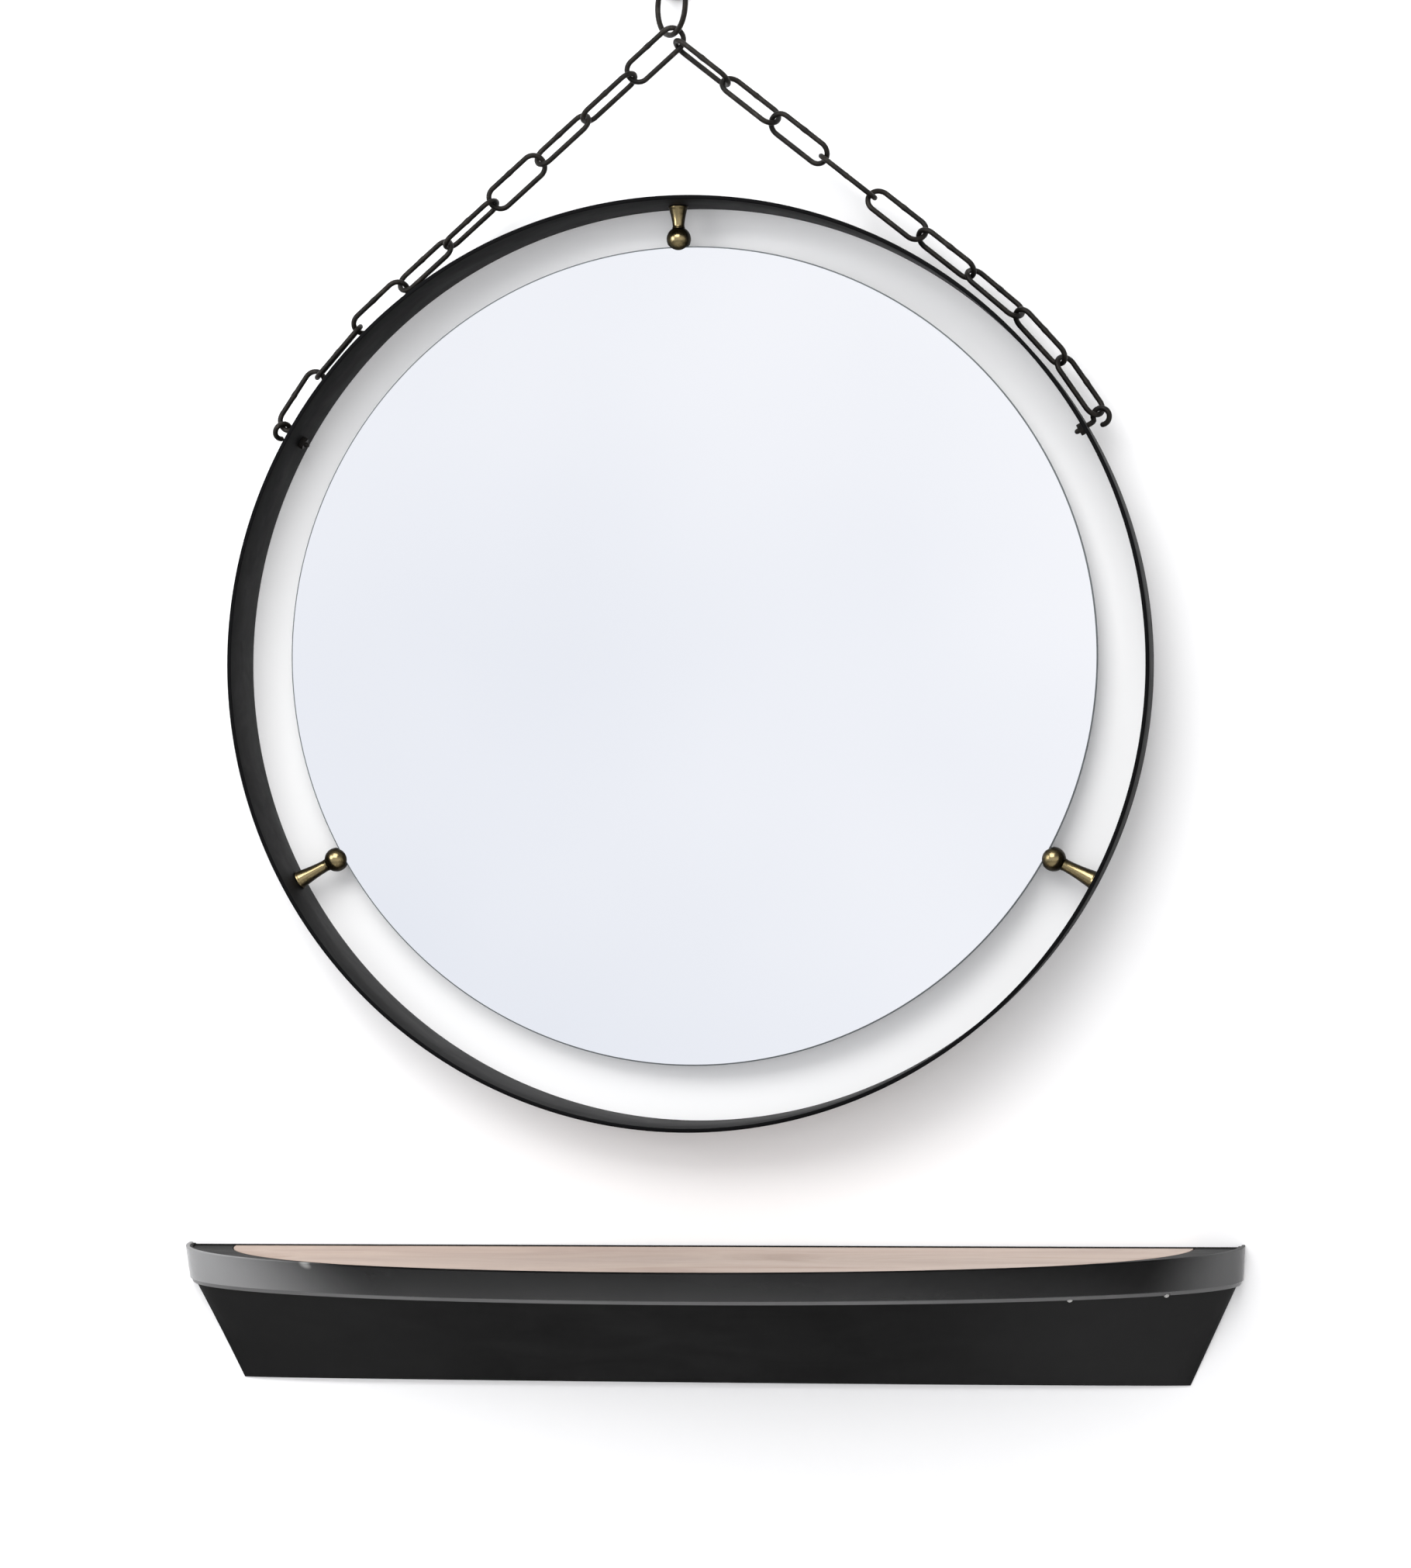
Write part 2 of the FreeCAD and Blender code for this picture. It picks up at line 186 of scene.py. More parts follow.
class Graph(NodeTree):
    """Shader tree with the patterns of the finishes and the room."""

    # Sockets of the mix node for colours, by number because its other kinds use the same names
    MIX_SHARE, MIX_FIRST, MIX_SECOND, MIX_RESULT = 0, 6, 7, 2

    def place(self, stretch: Triple = (1.0, 1.0, 1.0)) -> Socket:
        """Object coordinates in metres, stretched.

        Args:
            stretch: Factor along each axis.

        Returns:
            The vector socket.
        """
        start = self.add("ShaderNodeTexCoord").outputs["Object"]
        return self.add("ShaderNodeMapping", {"Vector": start, "Scale": stretch}).outputs["Vector"]

    def noise(self, pattern: Pattern, place: Socket | None = None) -> Socket:
        """Draws a cloudy pattern.

        Args:
            pattern: The pattern.
            place: Its coordinates, or none for the piece's own.

        Returns:
            The pattern's value socket, about 0.5 on average.
        """
        if place is None:
            place = self.place(pattern.stretch)
        node = self.add("ShaderNodeTexNoise", {
            "Vector": place, "Scale": pattern.scale, "Detail": pattern.detail,
            "Roughness": pattern.rough, "Distortion": pattern.warp})
        return node.outputs["Fac"]

    def spread(self, value: Socket, results: Pair, span: Pair = (0.3, 0.7), way: str = "LINEAR") -> Socket:
        """Maps a value to a range.

        Args:
            value: The value.
            results: What it becomes at the two ends of its span.
            span: The two ends.
            way: Blender's name of the course between them.

        Returns:
            The mapped value's socket.
        """
        node = self.add("ShaderNodeMapRange", {
            "Value": value, "From Min": span[0], "From Max": span[1],
            "To Min": results[0], "To Max": results[1]}, interpolation_type=way)
        return node.outputs["Result"]

    def ramp(self, value: Socket, stops: Sequence[float], colours: Sequence[Colour]) -> Socket:
        """Colours a pattern.

        Args:
            value: The pattern.
            stops: Values of the pattern, from 0 to 1.
            colours: The colour at each of them.

        Returns:
            The colour socket.
        """
        node = self.add("ShaderNodeValToRGB", {"Fac": value})
        elements = node.color_ramp.elements
        while len(elements) < len(stops):
            elements.new(1.0)
        for element, stop, colour in zip(elements, stops, colours):
            element.position = stop
            element.color = (*colour, 1.0)
        return node.outputs["Color"]

    def waver(self, pattern: Pattern, colour: Colour, dark_share: float, stops: Pair) -> Socket:
        """Colour that turns a little darker in clouds.

        Args:
            pattern: The clouds.
            colour: The colour.
            dark_share: How light the darkest clouds are, as a share of it.
            stops: Values of the pattern at which the dark ends and the full colour starts.

        Returns:
            The colour socket.
        """
        darker = tuple(dark_share * channel for channel in colour)
        return self.ramp(self.noise(pattern), stops, (darker, colour))

    def mix(self, share: Socket, first: Socket | Colour, second: Socket | Colour, way: str = "MIX") -> Socket:
        """Mixes two colours.

        Args:
            share: Share of the second colour.
            first: The colour where share is 0.
            second: The colour where share is 1.
            way: Blender's name of the blend mode.

        Returns:
            The colour socket.
        """
        values = {self.MIX_SHARE: share, self.MIX_FIRST: first, self.MIX_SECOND: second}
        node = self.add("ShaderNodeMix", values, data_type="RGBA", blend_type=way)
        return node.outputs[self.MIX_RESULT]

    def height(self) -> Socket:
        """Returns the socket of the height in object space, in metres."""
        return self.add("ShaderNodeSeparateXYZ", {"Vector": self.place()}).outputs["Z"]

    def near(self, point: Triple, reach: float, core_share: float = 0.25) -> Socket:
        """Mask that is 1 round a point of the piece and fades to 0.

        Args:
            point: The place, in metres.
            reach: Distance at which the mask ends.
            core_share: Share of the reach over which it is 1.

        Returns:
            The mask's value socket.
        """
        node = self.add("ShaderNodeVectorMath", {0: self.place(), 1: point}, operation="DISTANCE")
        return self.spread(node.outputs["Value"], (1.0, 0.0), (reach * core_share, reach), "SMOOTHSTEP")

    def relief(self, relief: Relief) -> Socket:
        """Bends the surface by a fine relief.

        Args:
            relief: The relief.

        Returns:
            The normal's socket.
        """
        node = self.add("ShaderNodeBump", {
            "Height": self.noise(relief.pattern), "Strength": relief.strength, "Distance": relief.depth})
        return node.outputs["Normal"]


# Finishes


@dataclass(frozen=True)
class Finish:
    """Base of the finishes."""

    name: str

    def inputs(self, g: Graph) -> Inputs:
        """What the shader's inputs take, given by each finish.

        Args:
            g: The material's graph.

        Returns:
            Names of inputs of the Principled shader, with sockets or constants.
        """
        raise NotImplementedError

    def material(self) -> Material:
        """Makes the finish.

        Returns:
            The new material.
        """
        material = bpy.data.materials.new(self.name)
        material.use_nodes = True
        g = Graph(material.node_tree)
        g.fill(material.node_tree.nodes["Principled BSDF"], self.inputs(g))
        return material


@dataclass(frozen=True)
class PaintedSheen:
    """Place where the lacquer is painted lighter as a painted sheen: its middle, its reach in metres and its
    tone.
    """

    place: Triple
    reach: float
    tone: Colour


@dataclass(frozen=True)
class Lacquer(Finish):
    """Black lacquer on steel, with faint dust, a soft orange peel, painted sheen in places and a dull top
    edge.
    """

    dark: Colour
    light: Colour
    rough: Pair
    gloss: float
    relief: Relief = Relief(Pattern(900.0, 3.0), 0.05, 0.0006)
    wear_and_sheen: tuple[PaintedSheen, ...] = ()
    dull_above: float | None = None
    dull_fade: float = 0.0006
    dust: Pattern = Pattern(9.0, 5.0, 0.6)
    dust_stops: Pair = (0.3, 0.75)
    smudges: Pattern = Pattern(26.0, 6.0, 0.62, (0.5, 1.0, 1.0), 0.4)

    def inputs(self, g: Graph) -> Inputs:
        """Dusty black with painted sheen in places, and dull along its top edge.

        Args:
            g: The material's graph.

        Returns:
            What the shader's inputs take: names, with sockets or constants.
        """
        gloss: Socket | float = self.gloss
        if self.dull_above is not None:
            edge = (self.dull_above, self.dull_above + self.dull_fade)
            gloss = g.spread(g.height(), (self.gloss, 0.0), edge)
        colour = g.ramp(g.noise(self.dust), self.dust_stops, (self.dark, self.light))
        # Painted sheen: the colour is lightened round each given spot
        for spot in self.wear_and_sheen:
            colour = g.mix(g.near(spot.place, spot.reach), colour, spot.tone)
        return {"Base Color": colour, "Specular IOR Level": gloss,
                "Roughness": g.spread(g.noise(self.smudges), self.rough), "Normal": g.relief(self.relief)}


@dataclass(frozen=True)
class BlackIron(Finish):
    """Blackened iron wire with rubbed spots and a little brown."""

    dark: Colour = (0.008, 0.0075, 0.007)
    brown: Colour = (0.018, 0.015, 0.012)
    wear_and_sheen: Colour = (0.05, 0.047, 0.043)
    patches: Pattern = Pattern(140.0, 6.0, 0.65)
    patch_stops: Triple = (0.35, 0.58, 0.8)
    metal: float = 0.4
    gloss: float = 0.25
    rough: Pair = (0.36, 0.62)
    rough_clouds: Pattern = Pattern(320.0)
    relief: Relief = Relief(Pattern(700.0, 5.0, 0.6), 0.25, 0.0005)

    def inputs(self, g: Graph) -> Inputs:
        """Black with brown patches and rubbed spots.

        Args:
            g: The material's graph.

        Returns:
            What the shader's inputs take: names, with sockets or constants.
        """
        tones = (self.dark, self.brown, self.wear_and_sheen)
        return {"Base Color": g.ramp(g.noise(self.patches), self.patch_stops, tones),
                "Metallic": self.metal, "Specular IOR Level": self.gloss,
                "Roughness": g.spread(g.noise(self.rough_clouds), self.rough),
                "Normal": g.relief(self.relief)}


@dataclass(frozen=True)
class AgedBrass(Finish):
    """Brass with a dark patina, painted bright gold where a mesh attribute of painted sheen says so."""

    patina: Colour = (0.026, 0.020, 0.009)
    gold: Colour = (0.34, 0.273, 0.142)
    between_share: float = 0.42
    stops: Triple = (0.1, 0.5, 0.95)
    mottle: Pattern = Pattern(420.0, 6.0, 0.65)
    mottle_range: Pair = (-0.22, 0.22)
    rough: Pair = (0.48, 0.2)
    rough_span: Pair = (0.1, 0.9)
    relief: Relief = Relief(Pattern(900.0), 0.12, 0.0003)

    def inputs(self, g: Graph) -> Inputs:
        """Patina and gold, mixed by the painted sheen and a random mottle.

        Args:
            g: The material's graph.

        Returns:
            What the shader's inputs take: names, with sockets or constants.
        """
        # Painted sheen from the mesh: bright where the brass faces the room, standing in for reflections
        facing_sheen = g.add("ShaderNodeAttribute", attribute_name=BRASS_SHEEN).outputs["Fac"]
        polish = g.math("ADD", facing_sheen, g.spread(g.noise(self.mottle), self.mottle_range), clamp=True)
        between = tuple((a + b) * self.between_share for a, b in zip(self.patina, self.gold))
        return {"Base Color": g.ramp(polish, self.stops, (self.patina, between, self.gold)), "Metallic": 1.0,
                "Roughness": g.spread(polish, self.rough, self.rough_span), "Normal": g.relief(self.relief)}


@dataclass(frozen=True)
class Timber(Finish):
    """Wood with its grain along x: fine pores, soft figure and a few dark streaks."""

    pale: Colour
    warm: Colour
    streak: Colour
    gloss: float = 0.35
    rough: Pair = (0.48, 0.66)
    figure: Pattern = Pattern(1.0, 5.0, 0.55, (4.5, 24.0, 20.0), 0.9)
    figure_stops: Triple = (0.28, 0.55, 0.8)
    lines: Pattern = Pattern(1.0, 6.0, 0.6, (1.3, 120.0, 60.0), 0.5)
    line_span: Pair = (0.62, 0.82)
    line_share: float = 0.85
    pores: Pattern = Pattern(1.0, 3.0, 0.7, (28.0, 1500.0, 900.0))
    pore_span: Pair = (0.58, 0.8)
    pore_share: float = 0.35
    pore_strength: float = 0.3
    pore_depth: float = 0.0004

    def inputs(self, g: Graph) -> Inputs:
        """Figure, dark lines and pores along the grain.

        Args:
            g: The material's graph.

        Returns:
            What the shader's inputs take: names, with sockets or constants.
        """
        figure, lines, pores = (g.noise(pattern) for pattern in (self.figure, self.lines, self.pores))
        wood = g.ramp(figure, self.figure_stops, (self.warm, self.pale, self.warm))
        wood = g.mix(g.spread(lines, (0.0, self.line_share), self.line_span), wood, self.streak)
        wood = g.mix(g.spread(pores, (0.0, self.pore_share), self.pore_span), wood, self.streak, "MULTIPLY")
        relief = Relief(self.pores, self.pore_strength, self.pore_depth)
        return {"Base Color": wood, "Specular IOR Level": self.gloss,
                "Roughness": g.spread(figure, self.rough), "Normal": g.relief(relief)}


@dataclass(frozen=True)
class Clouded(Finish):
    """Plain finish whose colour and roughness waver in clouds."""

    colour: Colour
    clouds: Pattern
    dark_share: float
    stops: Pair
    rough: Pair
    rough_clouds: Pattern
    metal: float = 0.0
    gloss: float = 0.5
    relief: Relief | None = None

    def inputs(self, g: Graph) -> Inputs:
        """Colour and roughness in clouds, with a relief where there is one.

        Args:
            g: The material's graph.

        Returns:
            What the shader's inputs take: names, with sockets or constants.
        """
        values: Inputs = {"Base Color": g.waver(self.clouds, self.colour, self.dark_share, self.stops),
                          "Metallic": self.metal, "Specular IOR Level": self.gloss,
                          "Roughness": g.spread(g.noise(self.rough_clouds), self.rough)}
        if self.relief is not None:
            values["Normal"] = g.relief(self.relief)
        return values


@dataclass(frozen=True)
class Silvering(Clouded):
    """Silvered plate glass, with the faintest unevenness."""

    colour: Colour = (0.93, 0.945, 0.965)
    clouds: Pattern = Pattern(5.0, 3.0)
    dark_share: float = 0.985
    stops: Pair = (0.2, 0.8)
    rough: Pair = (0.012, 0.03)
    rough_clouds: Pattern = Pattern(14.0)
    metal: float = 1.0


@dataclass(frozen=True)
class GroundGlass(Clouded):
    """Ground edge of the plate glass."""

    colour: Colour = (0.24, 0.265, 0.275)
    clouds: Pattern = Pattern(60.0)
    dark_share: float = 0.8
    stops: Pair = (0.3, 0.7)
    rough: Pair = (0.22, 0.4)
    rough_clouds: Pattern = Pattern(500.0, 3.0)
    gloss: float = 0.6


@dataclass(frozen=True)
class BareMetal(Clouded):
    """Bare steel with fine scratches."""

    colour: Colour = (0.62, 0.61, 0.59)
    clouds: Pattern = Pattern(1.0, 5.0, 0.6, (300.0, 900.0, 2200.0))
    dark_share: float = 0.72
    stops: Pair = (0.3, 0.7)
    rough: Pair = (0.28, 0.5)
    rough_clouds: Pattern = Pattern(180.0)
    metal: float = 1.0


@dataclass(frozen=True)
class Coating(Clouded):
    """Dull soft layer, such as rubber or the paint behind the glass."""

    clouds: Pattern = Pattern(90.0, 5.0)
    dark_share: float = 0.75
    stops: Pair = (0.25, 0.75)
    rough: Pair = (0.7, 0.9)
    rough_clouds: Pattern = Pattern(250.0, 3.0)
    gloss: float = 0.3
    relief: Relief | None = Relief(Pattern(1200.0, 2.0), 0.2, 0.0003)


@dataclass(frozen=True)
class Paint(Finish):
    """Matt paint of wall or floor, which may glow a little, to lift shadows, and be clear from behind."""

    colour: Colour
    glow: float = 0.0
    one_sided: bool = False
    clouds: Pattern = Pattern(3.0, 3.0)
    dark_share: float = 0.985
    stops: Pair = (0.2, 0.8)
    rough: float = 0.95
    gloss: float = 0.1
    glow_colour: Colour = (1.0, 1.0, 1.0)

    def inputs(self, g: Graph) -> Inputs:
        """Nearly even colour that may glow.

        Args:
            g: The material's graph.

        Returns:
            What the shader's inputs take: names, with sockets or constants.
        """
        return {"Base Color": g.waver(self.clouds, self.colour, self.dark_share, self.stops),
                "Roughness": self.rough, "Specular IOR Level": self.gloss,
                "Emission Color": self.glow_colour, "Emission Strength": self.glow}

    def material(self) -> Material:
        """Makes the paint; one-sided paint leaves the view from behind free.

        Returns:
            The new material.
        """
        material = super().material()
        if self.one_sided:
            nodes = material.node_tree.nodes
            g = Graph(material.node_tree)
            both = g.add("ShaderNodeMixShader", {
                0: g.add("ShaderNodeNewGeometry").outputs["Backfacing"],
                1: nodes["Principled BSDF"].outputs["BSDF"],
                2: g.add("ShaderNodeBsdfTransparent").outputs["BSDF"]})
            g.fill(nodes["Material Output"], {"Surface": both.outputs["Shader"]})
        return material


def made(finish: Finish) -> Material:
    """Returns a dataclass field that makes the finish when its owner is made."""
    return field(default_factory=finish.material)


@dataclass
class Finishes:
    """Every finish of the set, made once."""

    hoop: Material = made(Lacquer(
        "hoop_lacquer", dark=(0.0025, 0.0025, 0.0028), light=(0.005, 0.005, 0.0055),
        rough=(0.48, 0.62), gloss=0.045))
    # Rim: both ends painted lighter as a painted reflection, and a small painted highlight on the top edge at
    # the left
    rim: Material = made(Lacquer(
        "rim_lacquer", dark=(0.003, 0.003, 0.003), light=(0.014, 0.014, 0.014),
        rough=(0.08, 0.2), gloss=0.07, dull_above=0.0498,
        wear_and_sheen=(PaintedSheen((-0.41, -0.01, 0.04), 0.21, (0.30, 0.30, 0.30)),
                PaintedSheen((0.41, -0.01, 0.04), 0.1, (0.12, 0.12, 0.12)),
                PaintedSheen((-0.284, -0.1095, 0.0505), 0.0065, (0.32, 0.32, 0.31)))))
    # Hull: both ends painted lighter, painted light where its sides turn towards the lamps
    hull: Material = made(Lacquer(
        "hull_lacquer", dark=(0.003, 0.003, 0.003), light=(0.006, 0.006, 0.006),
        rough=(0.4, 0.55), gloss=0.022, relief=Relief(Pattern(1400.0, 3.0), 0.12, 0.0006),
        wear_and_sheen=(PaintedSheen((-0.40, -0.02, 0.0), 0.3, (0.014, 0.014, 0.014)),
                PaintedSheen((0.40, -0.02, 0.0), 0.3, (0.022, 0.022, 0.022)))))
    # Lip: painted grey, a painted highlight along the rim's lower edge
    lip: Material = made(Lacquer(
        "lip_lacquer", dark=(0.045, 0.045, 0.045), light=(0.10, 0.10, 0.10), rough=(0.25, 0.42), gloss=0.5))
    iron: Material = made(BlackIron("black_iron"))
    brass: Material = made(AgedBrass("aged_brass"))
    silver: Material = made(Silvering("mirror_silver"))
    glass_edge: Material = made(GroundGlass("mirror_edge"))
    backing: Material = made(Coating("mirror_back_paint", (0.30, 0.31, 0.33)))
    wood: Material = made(Timber(
        "pale_top_wood", pale=(0.43, 0.333, 0.275), warm=(0.31, 0.22, 0.176), streak=(0.175, 0.112, 0.086)))
    batten: Material = made(Timber(
        "batten_wood", pale=(0.60, 0.45, 0.29), warm=(0.50, 0.36, 0.22), streak=(0.33, 0.21, 0.12)))
    steel: Material = made(BareMetal("bare_steel"))
    liner: Material = made(Coating("liner_rubber", (0.03, 0.03, 0.03)))


# Pieces and their meshes


def publish(obj: Object, body: Body, slot: str, *nodes: str) -> None:
    """Puts a finished piece on its body and hides the CAD nodes that it stands for.

    Args:
        obj: The piece.
        body: The body that it rides on.
        slot: The record's material slot of its finish; not used.
        nodes: The CAD nodes that it stands for.
    """
    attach(obj, body.value)
    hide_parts(*nodes)
    LOG.info("%s on %s: %d faces", obj.name, body.value, len(obj.data.polygons))


def dress(material: Material, *nodes: str) -> None:
    """Gives CAD nodes a finish.

    Args:
        material: The finish.
        nodes: The names of the nodes.
    """
    for name in nodes:
        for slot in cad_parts[name].material_slots:
            slot.material = material
        LOG.info("%s dressed in %s", name, material.name)


def new_object(name: str, data: bpy.types.ID) -> Object:
    """Puts a new object into the scene.

    Args:
        name: Its name.
        data: Its mesh, lamp or camera.

    Returns:
        The object.
    """
    obj = bpy.data.objects.new(name, data)
    bpy.context.scene.collection.objects.link(obj)
    return obj


def shade(mesh: bpy.types.Mesh, crease: float) -> None:
    """Shades a mesh smoothly between its crisp edges.

    Args:
        mesh: The mesh.
        crease: Edges bent by more degrees than this stay crisp.
    """
    mesh.shade_smooth()
    mesh.set_sharp_from_angle(angle=math.radians(crease))


def to_object(name: str, bm: BMesh, *materials: Material, crease: float = CREASE) -> Object:
    """Turns a bmesh into an object with outward normals and crisp corners.

    Args:
        name: The object's name.
        bm: The mesh, which is used up.
        materials: Its materials.
        crease: Edges bent by more degrees than this stay crisp.

    Returns:
        The new object.
    """
    bmesh.ops.remove_doubles(bm, verts=bm.verts, dist=WELD)
    bmesh.ops.recalc_face_normals(bm, faces=bm.faces)
    mesh = bpy.data.meshes.new(name)
    bm.to_mesh(mesh)
    bm.free()
    shade(mesh, crease)
    for material in materials:
        mesh.materials.append(material)
    return new_object(name, mesh)


def settle(obj: Object, crease: float = CREASE) -> None:
    """Replaces an object's mesh by what its modifiers make, and drops them.

    Args:
        obj: The object.
        crease: Edges bent by more degrees than this stay crisp.
    """
    graph = bpy.context.evaluated_depsgraph_get()
    mesh = bpy.data.meshes.new_from_object(obj.evaluated_get(graph))
    obj.modifiers.clear()
    obj.data = mesh
    mesh.name = obj.name
    shade(mesh, crease)


def cut(obj: Object, cutter: Object) -> None:
    """Cuts one object out of another and removes the cutter.

    Args:
        obj: The object that is cut.
        cutter: The object that is taken away from it.
    """
    change = obj.modifiers.new("cut", "BOOLEAN")
    change.object = cutter
    change.solver = "EXACT"
    settle(obj)
    bpy.data.objects.remove(cutter)


def rounded(corners: Sequence[Pair], radius: float, steps: int) -> list[Pair]:
    """Rounds the corners of a closed outline.

    Args:
        corners: The outline's corners in order.
        radius: Radius of the rounding.
        steps: Pieces of each rounded corner.

    Returns:
        The points of the rounded outline.
    """
    points: list[Pair] = []
    count = len(corners)
    for i, corner in enumerate(corners):
        here = Vector(corner)
        back = (Vector(corners[i - 1]) - here).normalized()
        ahead = (Vector(corners[(i + 1) % count]) - here).normalized()
        half = back.angle(ahead) / 2
        middle = here + (back + ahead).normalized() * (radius / math.sin(half))
        start = here + back * (radius / math.tan(half)) - middle
        end = here + ahead * (radius / math.tan(half)) - middle
        for k in range(steps + 1):
            points.append(tuple(middle + start.slerp(end, k / steps) * radius))
    return points


def circle(count: int) -> list[float]:
    """Returns evenly spread angles of a full turn, in radians."""
    return [2 * math.pi * k / count for k in range(count)]


def hexagon(flats: float, count: int) -> list[float]:
    """Distances of a hexagon's outline from its middle.

    Args:
        flats: Distance of its flats.
        count: Number of angles, evenly spread over a full turn.

    Returns:
        The distance at each angle.
    """
    sixth = math.pi / 3
    return [flats / math.cos((turn + sixth / 2) % sixth - sixth / 2) for turn in circle(count)]


def skin(rows: Sequence[Sequence[Vector]], loop: bool = False, caps: bool = True,
         bm: BMesh | None = None) -> BMesh:
    """Spans faces between closed rows of equally many points.

    Args:
        rows: The rows.
        loop: Whether the last row joins the first.
        caps: Whether the first and last row are filled, where they don't join.
        bm: A mesh that takes the faces; without one, a new mesh does.

    Returns:
        The mesh.
    """
    if bm is None:
        bm = bmesh.new()
    rings = [[bm.verts.new(spot) for spot in row] for row in rows]
    for one, two in zip(rings, rings[1:] + rings[:1] if loop else rings[1:]):
        for i in range(len(one)):
            bm.faces.new((one[i - 1], one[i], two[i], two[i - 1]))
    if caps and not loop:
        bm.faces.new(rings[0])
        bm.faces.new(rings[-1])
    return bm


def stack(levels: Sequence[tuple[Sequence[float], float]], place: Matrix, loop: bool = False,
          caps: bool = True) -> BMesh:
    """Spans faces between outlines round the z axis of a placed frame.

    Args:
        levels: Radii at even angles, and the height, of each outline.
        place: Where the frame lies.
        loop: Whether the last outline joins the first.
        caps: Whether the first and last outline are filled, where they don't join.

    Returns:
        The mesh.
    """
    rows = []
    for radii, height in levels:
        turns = zip(radii, circle(len(radii)))
        rows.append([place @ Vector((r * math.cos(turn), r * math.sin(turn), height)) for r, turn in turns])
    return skin(rows, loop, caps)


def lathe(outline: Sequence[Pair], place: Matrix, count: int, closed: bool = False) -> BMesh:
    """Turns an outline about the z axis of a placed frame.

    Args:
        outline: Radius and height of each point.
        place: Where the frame lies.
        count: Steps round the axis.
        closed: Whether the outline's last point joins its first.

    Returns:
        The turned mesh.
    """
    bm = stack([([radius] * count, height) for radius, height in outline], place, closed, caps=False)
    bmesh.ops.remove_doubles(bm, verts=bm.verts, dist=POLE_WELD)
    bmesh.ops.dissolve_degenerate(bm, edges=bm.edges, dist=SLIVER)
    return bm


def tube(line: Sequence[Vector], radius: float, sides: int, closed: bool) -> BMesh:
    """Round bar along a line.

    Args:
        line: Points of its middle line.
        radius: Radius of the bar.
        sides: Sides of its round section.
        closed: Whether it closes on itself; otherwise its ends are rounded off.

    Returns:
        The bar's mesh.
    """
    last = len(line) - 1
    if closed:
        ways = [(line[(i + 1) % len(line)] - line[i - 1]).normalized() for i in range(len(line))]
    else:
        ways = [(line[min(i + 1, last)] - line[max(i - 1, 0)]).normalized() for i in range(len(line))]
    stations = [(point, way, radius) for point, way in zip(line, ways)]
    if not closed:
        domes = [(radius * math.sin(a), radius * math.cos(a)) for a in map(math.radians, DOME_ANGLES)]
        head = [(line[0] - ways[0] * d, ways[0], r) for d, r in reversed(domes)]
        tail = [(line[-1] + ways[-1] * d, ways[-1], r) for d, r in domes]
        stations = head + stations + tail
    rows = []
    normal = ways[0].orthogonal().normalized()
    for point, way, size in stations:
        normal = (normal - way * normal.dot(way)).normalized()
        across = way.cross(normal)
        rows.append([point + (normal * math.cos(t) + across * math.sin(t)) * size for t in circle(sides)])
    return skin(rows, loop=closed)


def axes(x: Vector, y: Vector, z: Vector, origin: Vector) -> Matrix:
    """Placement whose own axes lie along the given directions.

    Args:
        x: Direction of its x axis.
        y: Direction of its y axis.
        z: Direction of its z axis.
        origin: Its origin.

    Returns:
        The 4 by 4 matrix.
    """
    return Matrix.Translation(origin) @ Matrix((x, y, z)).transposed().to_4x4()


def along_z(origin: Vector, way: Vector, steep: float = 0.7) -> Matrix:
    """Placement whose z axis points along a direction, and its x axis towards the room or up.

    Args:
        origin: Its origin.
        way: Direction of its z axis.
        steep: How far out of the wall, from 0 to 1, the direction may point before x points up.

    Returns:
        The 4 by 4 matrix.
    """
    side = ROOM if abs(way.y) < steep else UP
    x = (side - way * side.dot(way)).normalized()
    return axes(x, way.cross(x), way, origin)


# Geometry Nodes


